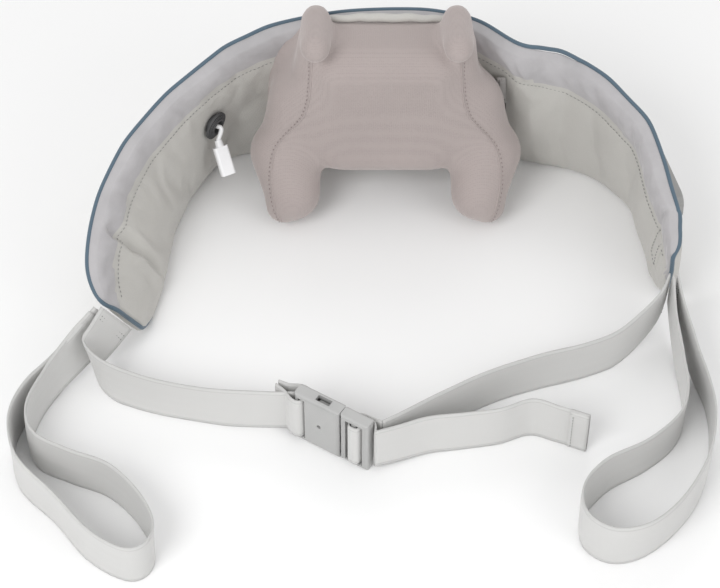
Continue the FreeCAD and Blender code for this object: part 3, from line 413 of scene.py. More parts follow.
def cord(name, color):
    """Piping: tightly wrapped cloth with a slanted twill."""
    s = Shader(name, 0.7, Sheen_Weight=0.3)
    here = s.place()
    slant = {"Vector": here, "Scale": 300.0, "Distortion": 0.8}
    twill = s.add("TexWave", slant, 1, bands_direction="DIAGONAL")
    wear = s.noise(here, 55.0, 4.0)
    tone = s.mix(s.ramp(twill, 0.0, 0.45), color, shade(color, 0.75))
    tone = s.mix(s.ramp(wear, 0.0, 0.5, 0.5, 0.8), tone, shade(color, 1.25))
    return s.finish(tone, s.ramp(wear, 0.6, 0.8), s.bump(twill, 0.1 * MM, 0.6))


LEATHER = leather("light_leatherette", (0.53, 0.519, 0.49))
BAND = brushed_cloth("edge_band_cloth", (0.46, 0.448, 0.458))
PIPING = cord("slate_piping", (0.085, 0.135, 0.18))
COVER = stretch_mesh("mauve_stretch_mesh", (0.395, 0.342, 0.33))
WEBBING = webbing_weave("grey_webbing", (0.66, 0.657, 0.645))
THREAD = plastic("grey_thread", (0.22, 0.22, 0.215), 0.8)
SEAM_THREAD = plastic("mauve_thread", (0.2, 0.165, 0.16), 0.8)
SLOT_FINISH = {
    "shawl_leather": LEATHER,
    "edge_fabric": BAND,
    "piping_cord": PIPING,
    "foam": foam("shawl_foam_white", (0.75, 0.75, 0.7)),
    "webbing": WEBBING,
    "buckle_plastic": plastic("buckle_acetal", (0.40, 0.40, 0.395), 0.36),
    "inner_plastic": plastic("dark_nylon", (0.045, 0.045, 0.05), 0.5),
    "steel": metal("plain_steel", (0.55, 0.55, 0.56)),
    "end_cap_plastic": plastic("black_nylon", (0.02, 0.02, 0.022), 0.45),
    "bronze": metal("sintered_bronze", (0.5, 0.3, 0.13), 0.45),
    "gear_plastic": plastic("natural_acetal", (0.75, 0.72, 0.62), 0.4),
    "head_rubber": rubber("silicone_head", (0.2, 0.16, 0.17)),
    "cover_mesh": COVER,
    "cell_wrap": plastic("cell_shrink_wrap", (0.04, 0.14, 0.32), 0.25),
    "board": circuit("board_mask", (0.015, 0.09, 0.03)),
    "grommet_rubber": rubber("grommet_rubber", (0.075, 0.075, 0.078)),
    "white_plastic": plastic("white_plastic", (0.82, 0.82, 0.83), 0.35, 0.2),
    "socket_metal": metal("plated_socket", (0.6, 0.6, 0.62), 0.25),
    "pod_plastic": plastic("pod_plastic", (0.33, 0.33, 0.325), 0.45),
    "button_plastic": rubber("button_rubber", (0.55, 0.55, 0.54)),
    "zip_fabric": brushed_cloth("zip_tape_cloth", (0.4, 0.385, 0.375)),
    "zip_metal": metal("dark_nickel", (0.16, 0.155, 0.15), 0.35),
}


def finish_cad_nodes():
    """Gives every CAD node the finish of its material slot."""
    for entry in frame["record"]["subparts"]:
        node = NODES[entry["node"]]
        for slot in node.material_slots:
            slot.material = SLOT_FINISH[entry["material_slot"]]
        if not node.material_slots:
            node.data.materials.append(SLOT_FINISH[entry["material_slot"]])


finish_cad_nodes()


# ---- shawl, sampled from its CAD panels

SHAWL_STEP = 3.6 * MM
SHAWL_RAYS = 721
# Heights that are surely inside, above and under the shawl all along it.
INSIDE_SHAWL = 45 * MM
ABOVE_SHAWL = 170 * MM
UNDER_SHAWL = -10 * MM
PANELS = surface("outer_panel", "inner_panel", "edge_band")
# The middle of the shawl in plan, and a distance from it that is outside the shawl.
HUB = centre("outer_panel").xy
FAR_OUT = 0.5


def panel_hits(turn, height):
    """Distances from the hub to the shawl's near and far faces, or None where there is no shawl."""
    away = Vector((math.cos(turn), math.sin(turn), 0))
    near = PANELS.ray_cast(Vector((*HUB, height)), away)[3]
    far = PANELS.ray_cast(Vector((*HUB, height)) + away * FAR_OUT, -away)[3]
    return (near, FAR_OUT - far) if near is not None and far is not None else None


def last_hit(turn, inside, outside):
    """The height between inside and outside at which the shawl ends."""
    for _ in range(12):
        middle = (inside + outside) / 2
        if panel_hits(turn, middle):
            inside = middle
        else:
            outside = middle
    return inside


def blur(values, reach):
    """Gaussian smoothing along the run that keeps both ends."""
    offsets = np.arange(-3 * reach, 3 * reach + 1)
    weights = np.exp(-0.5 * (offsets / reach) ** 2)
    before = 2 * values[0] - values[3 * reach:0:-1]
    after = 2 * values[-1] - values[-2:-3 * reach - 2:-1]
    padded = np.concatenate([before, values, after])
    return np.convolve(padded, weights / weights.sum(), "valid")


def sample_shawl():
    """Columns along the run: direction from the hub, foot, top, lean line and half thickness."""
    ridge = [v.co for v in NODES["piping"].data.vertices]
    # turns are measured from straight ahead, so they never wrap at the back
    spread = [math.atan2(p.x - HUB.x, -(p.y - HUB.y)) % (2 * math.pi) for p in ridge]
    first, last = min(spread), max(spread)
    rows = []
    for turn in np.linspace(first, last, SHAWL_RAYS):
        compass = turn - math.pi / 2
        if not panel_hits(compass, INSIDE_SHAWL):
            continue
        top = last_hit(compass, INSIDE_SHAWL, ABOVE_SHAWL)
        foot = last_hit(compass, INSIDE_SHAWL, UNDER_SHAWL)
        low, high = foot + 0.3 * (top - foot), foot + 0.7 * (top - foot)
        (near_low, far_low), (near_high, far_high) = panel_hits(compass, low), panel_hits(compass, high)
        mid_low, mid_high = (near_low + far_low) / 2, (near_high + far_high) / 2
        slope = (mid_high - mid_low) / (high - low)
        half = (far_low - near_low + far_high - near_high) / 4
        rows.append((compass, foot, top, mid_low - slope * low, slope, half))
    return np.array(rows)


def resample(rows, step):
    """Columns spaced evenly by length of the ridge, smoothed along the run."""
    turn, foot, top, base, slope, half = rows.T
    reach = base + slope * top
    ridge = np.stack([HUB.x + np.cos(turn) * reach, HUB.y + np.sin(turn) * reach, top], 1)
    run = np.concatenate([[0], np.cumsum(np.linalg.norm(np.diff(ridge, axis=0), axis=1))])
    count = int(run[-1] / step) + 1
    even = np.linspace(0, run[-1], count)
    columns = np.stack([np.interp(even, run, values) for values in rows.T], 1)
    for k, sigma in ((1, 2), (2, 2), (3, 2), (4, 3), (5, 2)):
        columns[:, k] = blur(columns[:, k], sigma)
    return even, columns


RUN, COLUMNS = resample(sample_shawl(), SHAWL_STEP)


def column_at_x(x):
    """The run length at which the ridge passes a given X."""
    turn, foot, top, base, slope, half = COLUMNS.T
    ridge = HUB.x + np.cos(turn) * (base + slope * top)
    middle = slice(20, len(RUN) - 20)
    return float(np.interp(x, ridge[middle], RUN[middle]))


BAND_HEIGHT = 21 * MM
BAND_OVER = 3 * MM
TIP_ROUND = 16 * MM
SIDE_STEPS = 30
# The outline stops this share short of a column's foot and top.
END_SHARE = 0.012
FLOOR_GAP = 0.3 * MM
SWELL_ROUNDS = 16
SWELL_CAP = 5 * MM
BEHIND_UNIT = 88 * MM


def clamp(value):
    """A value held between 0 and 1."""
    return max(0.0, min(1.0, value))


def wander(x, y, z):
    """Smooth noise at a place, the same in every run."""
    return noise.noise(Vector((x, y, z)))


def hill(value, middle, reach):
    """A bell curve of height 1 round a middle."""
    return math.exp(-((value - middle) / reach) ** 2)


def column(k):
    """One column's frame: foot, lean, direction across, slant length and half thickness."""
    turn, foot, top, base, slope, half = COLUMNS[k]
    away = Vector((math.cos(turn), math.sin(turn), 0))
    lean = (away * slope + UP).normalized()
    across = (away - lean * away.dot(lean)).normalized()
    start = Vector((*HUB, 0)) + away * (base + slope * foot) + UP * foot
    end_gap = min(RUN[k], RUN[-1] - RUN[k])
    end_round = math.sqrt(1 - (1 - clamp(end_gap / TIP_ROUND)) ** 2)
    thick = max(half * across.dot(away), 2.5 * MM) * (0.35 + 0.65 * end_round)
    return start, lean, across, (top - foot) / lean.z, thick


def crease(x, low, high, width, depth, slant=0.0):
    """A soft valley of the near panel at a ridge X between two height shares; negative depths swell."""
    home = column_at_x(x)

    def push(run, share):
        reach = clamp((share - low) / 0.15) * clamp((high - share) / 0.15)
        return depth * reach * hill(run, home + slant * (share - 0.5), width)
    return push


# Ridge X, height shares, width, depth and slant of each fold.
FOLDS = [
    crease(-96 * MM, 0.0, 0.95, 4.5 * MM, 7.5 * MM, 6 * MM),
    crease(-107 * MM, 0.0, 0.88, 6 * MM, -5.0 * MM, 12 * MM),
    crease(-119 * MM, 0.0, 0.7, 6 * MM, 4.6 * MM, 20 * MM),
    crease(-124 * MM, 0.0, 0.6, 9 * MM, -2.4 * MM, -18 * MM),
    crease(-150 * MM, 0.0, 0.5, 14 * MM, 1.8 * MM, -26 * MM),
    crease(-168 * MM, 0.0, 0.62, 12 * MM, -2.0 * MM, 22 * MM),
    crease(86 * MM, 0.1, 1.0, 5 * MM, 3.4 * MM, 6 * MM),
    crease(102 * MM, 0.0, 0.9, 9 * MM, -3.0 * MM, -8 * MM),
    crease(126 * MM, 0.15, 0.85, 10 * MM, 3.2 * MM, -14 * MM),
    crease(146 * MM, 0.05, 0.8, 8 * MM, -2.6 * MM, -24 * MM),
    crease(160 * MM, 0.0, 0.8, 6 * MM, 2.8 * MM, -12 * MM),
    crease(178 * MM, 0.1, 0.7, 9 * MM, -2.0 * MM, 14 * MM),
]

# Hollows that keep the skin off the grommet, and off the zip slider all the way up its travel.
DISHES = [(centre("cable_grommet"), 17 * MM, 5.0 * MM)]
DISHES += [(centre("zip_slider") + UP * rise * MM, 12 * MM, 3.5 * MM) for rise in (0, 12, 24, 34)]


def offset_at(k, height, near):
    """How far the skin stands off the middle surface, measured across, at a slant height."""
    start, lean, _, length, thick = column(k)
    run, drop = RUN[k], length - height
    edge = min(height, drop)
    round_off = math.sqrt(1 - (1 - clamp(edge / (1.3 * thick))) ** 2)
    out = thick * max(round_off, 0.16)
    if not near:
        return out + 1.2 * MM * math.sin(math.pi * clamp(height / length))
    out -= 1.7 * MM * hill(drop, BAND_HEIGHT, 1.7 * MM)
    below = clamp(height / (length - BAND_HEIGHT))
    out += 1.9 * MM * math.sin(math.pi * below) if drop > BAND_HEIGHT else 0.0
    # fine gathers of the band between its two seams, and shallow ones under the stitched seam
    band = clamp(drop / (5 * MM)) * clamp((BAND_HEIGHT - drop) / (5 * MM))
    out += 2.8 * MM * band * wander(run / (7 * MM) + drop / (9 * MM), drop / (26 * MM), 3.0)
    pucker = hill(drop, BAND_HEIGHT + 6 * MM, 6 * MM)
    out += 0.7 * MM * pucker * wander(run / (7 * MM), drop / (40 * MM), 9.0)
    out += 1.2 * MM * clamp(height / (12 * MM)) * wander(run / (34 * MM), height / (30 * MM), 5.0)
    out -= sum(fold(run, height / length) for fold in FOLDS)
    here = start + lean * height
    for spot, reach, depth in DISHES:
        out -= depth * hill((here - spot).length, 0, reach)
    return out


def on_shawl(k, height, near=True, lift=0.0):
    """A point of the skin, and the direction out of it."""
    start, lean, across, _, _ = column(k)
    outwards = -across if near else across
    spot = start + lean * height + outwards * (offset_at(k, height, near) + lift)
    spot.z = max(spot.z, FLOOR_GAP)
    return spot, outwards


def ease(share):
    """Shares from 0 to 1 that crowd towards both ends."""
    return 0.5 - 0.5 * math.cos(math.pi * share)


def shawl_ring(k):
    """The closed outline of one column: up the near side, over the top and down the far side."""
    length = column(k)[3]
    span = 1 - 2 * END_SHARE
    heights = [length * (END_SHARE + span * ease(n / SIDE_STEPS)) for n in range(SIDE_STEPS + 1)]
    near = [on_shawl(k, height)[0] for height in heights]
    far = [on_shawl(k, height, near=False)[0] for height in reversed(heights)]
    return near + far, heights


def swell(piece, pinned):
    """Blows the padded skin up between its seams by cloth simulation, then limits how far it moved."""
    rest = [v.co.copy() for v in piece.data.vertices]
    held = piece.vertex_groups.new(name="sewn")
    held.add(pinned, 1.0, "REPLACE")
    cloth = piece.modifiers.new("cloth", "CLOTH")
    settings = cloth.settings
    settings.vertex_group_mass = held.name
    settings.quality = 6
    settings.mass = 0.25
    settings.tension_stiffness = settings.compression_stiffness = 12
    settings.shear_stiffness = 6
    settings.bending_stiffness = 0.6
    settings.use_pressure = True
    settings.uniform_pressure_force = 3.0
    settings.shrink_min = -0.006
    settings.effector_weights.gravity = 0
    scene = bpy.context.scene
    cloth.point_cache.frame_start, cloth.point_cache.frame_end = 1, SWELL_ROUNDS
    for frame_number in range(1, SWELL_ROUNDS + 1):
        scene.frame_set(frame_number)
    apply_modifiers(piece)
    scene.frame_set(1)
    for vertex, before in zip(piece.data.vertices, rest):
        step = vertex.co - before
        if step.length > SWELL_CAP:
            vertex.co = before + step.normalized() * SWELL_CAP
        vertex.co.z = max(vertex.co.z, FLOOR_GAP)
    piece.vertex_groups.clear()


def recalculate(piece):
    """Makes every face look outwards."""
    mesh = bmesh.new()
    mesh.from_mesh(piece.data)
    bmesh.ops.recalc_face_normals(mesh, faces=mesh.faces)
    mesh.to_mesh(piece.data)
    mesh.free()


def make_shawl():
    """One closed padded skin, whose top strip on the near side is the edge band."""
    rings = [shawl_ring(k)[0] for k in range(len(RUN))]
    wide = len(rings[0])
    points = [p for ring in rings for p in ring]
    shawl = add_mesh("shawl_skin", points, tube_faces(len(rings), wide, turned=True), LEATHER)
    shawl.data.materials.append(BAND)
    sewn = []
    for k in range(len(rings)):
        _, heights = shawl_ring(k)
        length = heights[-1] / (1 - END_SHARE)
        behind_unit = abs(rings[k][0].x) < BEHIND_UNIT
        for slot in range(wide):
            height = heights[slot] if slot <= SIDE_STEPS else heights[wide - 1 - slot]
            drop = length - height
            seam = slot <= SIDE_STEPS and abs(drop - BAND_HEIGHT) < 3 * MM
            rim = min(drop, height) < 4 * MM
            spot = rings[k][slot]
            dished = any((spot - home).length < reach for home, reach, _ in DISHES)
            if seam or rim or behind_unit or dished or k < 3 or k > len(rings) - 4:
                sewn.append(k * wide + slot)
            if k < len(rings) - 1:
                reach = BAND_HEIGHT if slot < SIDE_STEPS else BAND_OVER
                shawl.data.polygons[k * wide + slot].material_index = int(drop < reach)
    recalculate(shawl)
    swell(shawl, sewn)
    shawl.modifiers.new("fine", "SUBSURF").levels = 1
    apply_modifiers(shawl)
    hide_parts("outer_panel", "inner_panel", "edge_band", "shawl_foam")


make_shawl()


PIPE_RADIUS = 1.6 * MM


def tip_turn(k, inwards):
    """Points down round a tip from the top seam to a little way along the foot."""
    start, lean, _, length, _ = column(k)
    out = (start - column(k + inwards * 6)[0]).normalized()
    corner = [start + lean * length * share + out * 1.5 * MM for share in (0.86, 0.6, 0.3, 0.1)]
    under = [column(k + inwards * step)[0] + UP * 1.6 * MM for step in (2, 6, 10)]
    return corner + under


def make_piping():
    """The cord on the top seam; it turns down round both tips."""
    ridge = []
    for k in range(2, len(RUN) - 2, 2):
        start, lean, across, length, thick = column(k)
        ridge.append(start + lean * (length - 2.2 * MM) + across * 0.75 * thick)
    path = tip_turn(0, 1)[::-1] + ridge + tip_turn(len(RUN) - 1, -1)
    piping = tube("piping_tube", smooth_path(path, 2.4 * MM), PIPE_RADIUS, PIPING, 14)
    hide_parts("piping")


def make_topstitch():
    """A row of stitching under the band's seam, all along the shawl."""
    row, normals = [], []
    for k in range(6, len(RUN) - 6):
        height = column(k)[3] - BAND_HEIGHT - 2.6 * MM
        spot, out = on_shawl(k, height, lift=0.25 * MM)
        row.append(spot)
        normals.append(out)
    stitches("band_topstitch", row, normals, THREAD)


TAB_RUN = (24 * MM, 46 * MM)
TAB_DROP = (BAND_HEIGHT - 2 * MM, BAND_HEIGHT + 26 * MM)
TAB_STEPS = 9
TAB_STITCHES = 12


def tab_drop(share):
    """The distance under the top seam at a share of the tab's height."""
    return TAB_DROP[0] + (TAB_DROP[1] - TAB_DROP[0]) * share


def make_tab():
    """A flat stitched patch on the near panel by the left tip."""
    first, last = (int(np.searchsorted(RUN, run)) for run in TAB_RUN)
    grid, under = [], []
    for k in range(first, last + 1):
        length = column(k)[3]
        for n in range(TAB_STEPS + 1):
            height = length - tab_drop(n / TAB_STEPS)
            rim = k in (first, last) or n in (0, TAB_STEPS)
            grid.append(on_shawl(k, height, lift=(0.5 if rim else 1.3) * MM)[0])
            under.append(on_shawl(k, height, lift=-1.0 * MM)[0])
    rows, wide = last - first + 1, TAB_STEPS + 1
    faces = grid_faces(rows, wide)
    size = len(grid)
    faces += [[size + v for v in face[::-1]] for face in faces]
    rim = list(range(wide))
    rim += [k * wide + TAB_STEPS for k in range(1, rows)]
    rim += [(rows - 1) * wide + n for n in range(TAB_STEPS - 1, -1, -1)]
    rim += [k * wide for k in range(rows - 2, 0, -1)]
    faces += [[a, b, b + size, a + size] for a, b in zip(rim, rim[1:] + rim[:1])]
    tab = add_mesh("tip_tab", grid + under, faces, LEATHER)
    recalculate(tab)
    inset, normals = [], []
    corners = [(first + 1, 0.1), (first + 1, 0.93), (last - 1, 0.93), (last - 1, 0.1)]
    for (ka, sa), (kb, sb) in zip(corners, corners[1:]):
        for share in np.linspace(0, 1, TAB_STITCHES):
            k = round(ka + (kb - ka) * share)
            drop = tab_drop(sa + (sb - sa) * share)
            spot, out = on_shawl(k, column(k)[3] - drop, lift=1.5 * MM)
            inset.append(spot)
            normals.append(out)
    stitches("tab_stitches", inset, normals, THREAD)


make_piping()
make_topstitch()
make_tab()


# ---- kneading unit's stretch cover

# The cover's rim goes this far into the shawl; cloth nearer to the shawl than the gap stays sewn down.
SEWN_DEPTH = 2 * MM
COVER_GAP = 2 * MM
# The rim is never further back than this.
COVER_REAR = -6.5 * MM
# Front-view corners (x, z in mm) of the rim on each side, and of one half of the front.
LEFT_REAR = [(-57, 144), (-80, 122), (-88, 98), (-91, 76), (-90, 50), (-48, 48)]
RIGHT_REAR = [(57, 144), (66, 122), (71, 98), (72, 80), (72, 62), (70, 44), (48, 48)]
FRONT_OUTLINE = [(34, 138), (42, 124), (42, 70), (36, 58)]
FRONT_FACE = -53 * MM
FINGER_ROUND = 11.2 * MM
PAW_REAR_ROUND = 26.8 * MM
PAW_TIP_ROUND = 20.9 * MM
# Balls (middle, radius) that pad the cover out: shoulders, lower edge and the paws' tips.
SHOULDER = (Vector((64, -33, 92)) * MM, 24 * MM)
LOWER_PAD = (Vector((34, -46, 55)) * MM, 17 * MM)
TOE = (Vector((76, -70, 18)) * MM, 13.5 * MM)
# Balls at both ends of the arm between its pivot and its upper head.
NECK_LOW = (Vector((54, -34, 106)) * MM, 15 * MM)
NECK_HIGH = (Vector((51, -34, 148)) * MM, 13 * MM)
CASE_HALF = 46 * MM
CASE_CLEAR = 9.5 * MM
CASE_ROUND = 20 * MM
CLOTH_VOXEL = 3 * MM
STRETCH_ROUNDS = 34
STRETCH_PULL = 0.55
SETTLE_ROUNDS = 6
ZIP_CLEAR = 11 * MM
# The cover is cut at these X.
SPLIT_X = 26 * MM
# Where rays start, well in front of the shawl and of the cover.
BEFORE_SHAWL = -0.12
BEFORE_COVER = -0.3


def head_balls(side):
    """The round ends of one arm's two heads, from the boxes of their CAD sleeves."""
    low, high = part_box(side + "_upper_finger_sleeve")
    r = FINGER_ROUND
    x = (low.x + high.x) / 2
    finger = [(Vector((x, high.y - r, low.z + r)), r), (Vector((x, low.y + r, high.z - r)), r)]
    low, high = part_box(side + "_lower_paw_sleeve")
    x = (low.x + high.x) / 2
    rear, tip = PAW_REAR_ROUND, PAW_TIP_ROUND
    inner = math.copysign(5 * MM, -x)
    paw_rear = Vector((x, high.y - rear, high.z - rear))
    paw_tip = Vector((x + inner, low.y + tip, low.z + tip))
    return finger, [(paw_rear, rear), (paw_tip, tip)]


def hull_into(mesh, points):
    """Adds the convex hull of some points."""
    made = [mesh.verts.new(p) for p in points]
    hull = bmesh.ops.convex_hull(mesh, input=made)
    loose = [v for v in hull["geom_interior"] if isinstance(v, bmesh.types.BMVert)]
    bmesh.ops.delete(mesh, geom=loose, context="VERTS")


def ball_points(*balls):
    """Points all over some balls, each given as its middle and radius."""
    points = []
    for place, radius in balls:
        made = bmesh.new()
        bmesh.ops.create_icosphere(made, subdivisions=3, radius=radius)
        points += [v.co + place for v in made.verts]
        made.free()
    return points


def mirrored(place, size):
    """The same ball on both sides."""
    return [(Vector((sign * place.x, place.y, place.z)), size) for sign in (-1, 1)]


def case_box():
    """Middle and half size of the gearbox, with room for the arms' swing."""
    low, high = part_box("gearbox_rear_shell")
    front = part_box("gearbox_front_shell")[0]
    low, high = Vector((-CASE_HALF, front.y, low.z)), Vector((CASE_HALF, high.y, high.z))
    return np.array((low + high) / 2), np.array((high - low) / 2) + CASE_CLEAR


def shawl_face(x, z):
    """Y of the shawl's near face in front view."""
    hit = PANELS.ray_cast(Vector((x, BEFORE_SHAWL, z)), BACKWARDS)[0]
    return min(hit.y, COVER_REAR) if hit else COVER_REAR


def bag_start():
    """Everything the cover is stretched over, as one voxel skin: its points, faces and edges."""
    mesh = bmesh.new()
    rim = [Vector(spot) * MM for spot in LEFT_REAR + RIGHT_REAR]
    rear = [Vector((x, shawl_face(x, z) + SEWN_DEPTH, z)) for x, z in rim]
    front = [Vector((sign * x * MM, FRONT_FACE, z * MM)) for x, z in FRONT_OUTLINE for sign in (-1, 1)]
    shoulders, toes = mirrored(*SHOULDER), mirrored(*TOE)
    hull_into(mesh, rear + front)
    hull_into(mesh, front + ball_points(*mirrored(*LOWER_PAD), *shoulders))
    for neck in zip(mirrored(*NECK_LOW), mirrored(*NECK_HIGH)):
        hull_into(mesh, ball_points(*neck))
    for (side, _), shoulder, toe in zip(SIDES, shoulders, toes):
        finger, paw = head_balls(side)
        paw_rear, paw_round = paw[0]
        hull_into(mesh, ball_points(*finger))
        hull_into(mesh, ball_points(*paw, toe))
        hull_into(mesh, ball_points(shoulder, (paw_rear, paw_round * 0.8)))
    data = bpy.data.meshes.new("bag")
    mesh.to_mesh(data)
    mesh.free()
    bag = place_object("bag", data)
    remesh = bag.modifiers.new("voxels", "REMESH")
    remesh.mode = "VOXEL"
    remesh.voxel_size = CLOTH_VOXEL
    apply_modifiers(bag)
    points = np.array([v.co for v in bag.data.vertices])
    faces = [list(f.vertices) for f in bag.data.polygons]
    edges = np.array([e.vertices for e in bag.data.edges])
    bpy.data.objects.remove(bag)
    return points, faces, edges


def push_off_case(points):
    """Keeps the cloth off the rounded gearbox."""
    middle, half = case_box()
    local = points - middle
    q = np.abs(local) - half + CASE_ROUND
    outside = np.maximum(q, 0)
    reach = np.linalg.norm(outside, axis=1)
    distance = reach + np.minimum(q.max(1), 0) - CASE_ROUND
    flat = np.eye(3)[q.argmax(1)]
    rounded = outside / np.maximum(reach, TINY)[:, None]
    direction = np.where(reach[:, None] > TINY, rounded, flat) * np.sign(local)
    return points + direction * np.maximum(-distance, 0)[:, None]


def push_off_balls(points, balls):
    """Keeps the cloth off a tapered head between two balls."""
    (a, ra), (b, rb) = balls
    a, b = np.array(a), np.array(b)
    run = b - a
    share = np.clip((points - a) @ run / (run @ run), 0, 1)
    spot = a + share[:, None] * run
    away = points - spot
    reach = np.linalg.norm(away, axis=1)
    lack = ra + (rb - ra) * share - reach
    return points + away / np.maximum(reach, TINY)[:, None] * np.maximum(lack, 0)[:, None]


def stretch(points, edges):
    """Pulls the bag taut over the gearbox, the pads and the heads; its rear rim stays sewn down."""
    a, b = edges[:, 0], edges[:, 1]
    both, other = np.concatenate([a, b]), np.concatenate([b, a])
    count = np.bincount(both, minlength=len(points))[:, None]
    sewn = np.array([y > shawl_face(x, z) - COVER_GAP for x, y, z in points])[:, None]
    heads = [balls for side, _ in SIDES for balls in head_balls(side)]
    heads.append(mirrored(*LOWER_PAD))
    heads.append([(centre("zip_slider"), ZIP_CLEAR), (centre("zip_pull"), ZIP_CLEAR)])
    heads += zip(mirrored(*NECK_LOW), mirrored(*NECK_HIGH))
    for toe, toe_round in mirrored(*TOE):
        heads.append([(toe, toe_round), (toe * 0.88, toe_round)])
    for turn in range(STRETCH_ROUNDS + SETTLE_ROUNDS):
        sums = [np.bincount(both, weights=points[other, k], minlength=len(points)) for k in range(3)]
        middle = np.stack(sums, 1) / count
        points = np.where(sewn, points, points + STRETCH_PULL * (middle - points))
        moved = push_off_case(points)
        if turn < STRETCH_ROUNDS:
            for balls in heads:
                moved = push_off_balls(moved, balls)
        points = np.where(sewn, points, moved)
    return points


def cover_part(name, whole, low_x, high_x):
    """The part of the cover between two X planes, closed at its cuts."""
    mesh = bmesh.new()
    mesh.from_mesh(whole)
    for limit, direction in ((low_x, -1), (high_x, 1)):
        if limit is None:
            continue
        geometry = mesh.verts[:] + mesh.edges[:] + mesh.faces[:]
        bmesh.ops.bisect_plane(mesh, geom=geometry, plane_co=(limit, 0, 0), plane_no=(direction, 0, 0),
                               clear_outer=True)
        rim = [e for e in mesh.edges if e.is_boundary]
        for edge in rim:
            edge.smooth = False
        bmesh.ops.triangle_fill(mesh, edges=rim, use_beauty=True)
    bmesh.ops.recalc_face_normals(mesh, faces=mesh.faces)
    data = bpy.data.meshes.new(name)
    mesh.to_mesh(data)
    mesh.free()
    data.polygons.foreach_set("use_smooth", [True] * len(data.polygons))
    piece = place_object(name, data)
    data.materials.append(COVER)
    return piece


def follow_arm(piece):
    """Bakes a piece's place into its mesh."""
    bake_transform(piece)


def make_cover():
    """One stretched bag in three pieces: the middle rides on the root body and both sides are baked in place.
    """
    points, faces, edges = bag_start()
    points = stretch(points, edges)
    bag = add_mesh("cover_bag", points, faces, COVER, body=None)
    bag.modifiers.new("fine", "SUBSURF").levels = 1
    apply_modifiers(bag)
    recalculate(bag)
    middle = cover_part("cover_middle", bag.data, -SPLIT_X, SPLIT_X)
    left = cover_part("cover_left", bag.data, None, -SPLIT_X)
    right = cover_part("cover_right", bag.data, SPLIT_X, None)
    corners = [v.co for v in bag.data.vertices]
    tree = BVHTree.FromPolygons(corners, [list(f.vertices) for f in bag.data.polygons])
    bpy.data.objects.remove(bag)
    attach(middle, "root")
    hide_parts("centre_cover")
    for piece, (side, sign) in zip((left, right), SIDES):
        follow_arm(piece)
        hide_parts(side + "_upper_finger_sleeve", side + "_lower_paw_sleeve")
    return tree


COVER_TREE = make_cover()

# Front-view paths (x, z in mm) of the cover's side seams, from an ear down the flank and over the paw.
SIDE_SEAM = [(53, 146), (54, 126), (56, 108), (61, 94), (72, 80), (81, 66), (84, 48), (82, 30), (77, 12)]


def seam_on_cover(sign):
    """A side seam dropped onto the cover from the front."""
    path, normals = [], []
    for spot in smooth_path([Vector((sign * x * MM, 0, z * MM)) for x, z in SIDE_SEAM], 2 * MM):
        hit, normal, _, _ = COVER_TREE.ray_cast(Vector((spot.x, BEFORE_COVER, spot.z)), BACKWARDS)
        if hit:
            path.append(hit + normal * 0.05 * MM)
            normals.append(normal)
    return path, normals


def make_seams():
    """Turned seams and their stitches on both flanks of the cover."""
    for side, sign in SIDES:
        path, normals = seam_on_cover(sign)
        ridge = tube(side + "_cover_seam", path, 0.55 * MM, COVER, 8, body=None)
        row = [p + n * 0.2 * MM + Vector((sign * 1.9, 0, 0)) * MM for p, n in zip(path, normals)]
        thread = stitches(side + "_seam_stitches", row, normals, SEAM_THREAD,
                          3.4 * MM, 1.8 * MM, 0.28 * MM, body=None)
        for piece in (ridge, thread):
            follow_arm(piece)


def make_lip():
    """The shawl's leather turned over the top of the kneading unit, between its upper fingers."""
    path = []
    for x in np.linspace(-50, 50, 41):
        lift = 1.6 * wander(x / 11, 2.0, 0) + 1.2 * math.cos(x / 32)
        path.append(Vector((x, -8.5 - 1.5 * wander(x / 14, 7.0, 0), 147.2 + lift)) * MM)
    lip = tube("top_lip", path, lambda share: (2.0 + 1.2 * math.sin(math.pi * share)) * MM, LEATHER, 14)


make_seams()
make_lip()


# ---- webbing

# Plan paths in mm of the webbing, which stands on edge; at a tip it leans and is lifted with the wing.
LEFT_LOOP = [
    (-194, -202), (-207, -213), (-228, -232), (-247, -256), (-256, -286), (-248, -320), (-221, -350),
    (-196, -380), (-172, -395), (-158, -391), (-154, -374), (-166, -349), (-187, -327), (-214, -315),
    (-238, -301), (-245, -277), (-234, -244), (-214, -220), (-197, -206),
]
RIGHT_LOOP = [
    (204, -172), (207, -189), (214, -220), (221, -254), (221, -286), (211, -324), (192, -355),
    (168, -376), (145, -380), (129, -367), (129, -345), (146, -323), (174, -306), (196, -285),
    (205, -262), (205, -232), (202, -200), (201, -173),
]
LEFT_STRAP = [
    (-189, -202), (-199, -214), (-207, -225), (-198, -238), (-176, -249), (-152, -257), (-118, -264),
    (-86, -268), (-63, -270),
]
RIGHT_STRAP = [
    (198, -172), (192, -184), (178, -198), (160, -212), (136, -223), (104, -233), (70, -247), (38, -266),
    (8, -287), (-4, -295),
]
STRAP_TAIL = [
    (-9, -304), (6, -298), (28, -289), (52, -285), (76, -281), (98, -273), (116, -279), (136, -287),
]
# How far a strip is lifted at an end, in mm, and the direction of its width there.
LEFT_TIP = (22, Vector((-25, -11, 46)))
RIGHT_TIP = (20, Vector((0, -8, 51)))
BUCKLE = (4.5, Vector((0, 0, 1)))
# The length of strip, in mm, over which an end's lift and lean fade out.
RISE_RUN = 62.0
WEB_WIDTH = 38.0
WEB_THICK = 1.7
WEB_STEP = 2.6
WEB_ACROSS = 12
WRAP_STEP = 1.2
TAIL_SWAY = 0.12
TAIL_SEED = 2.6


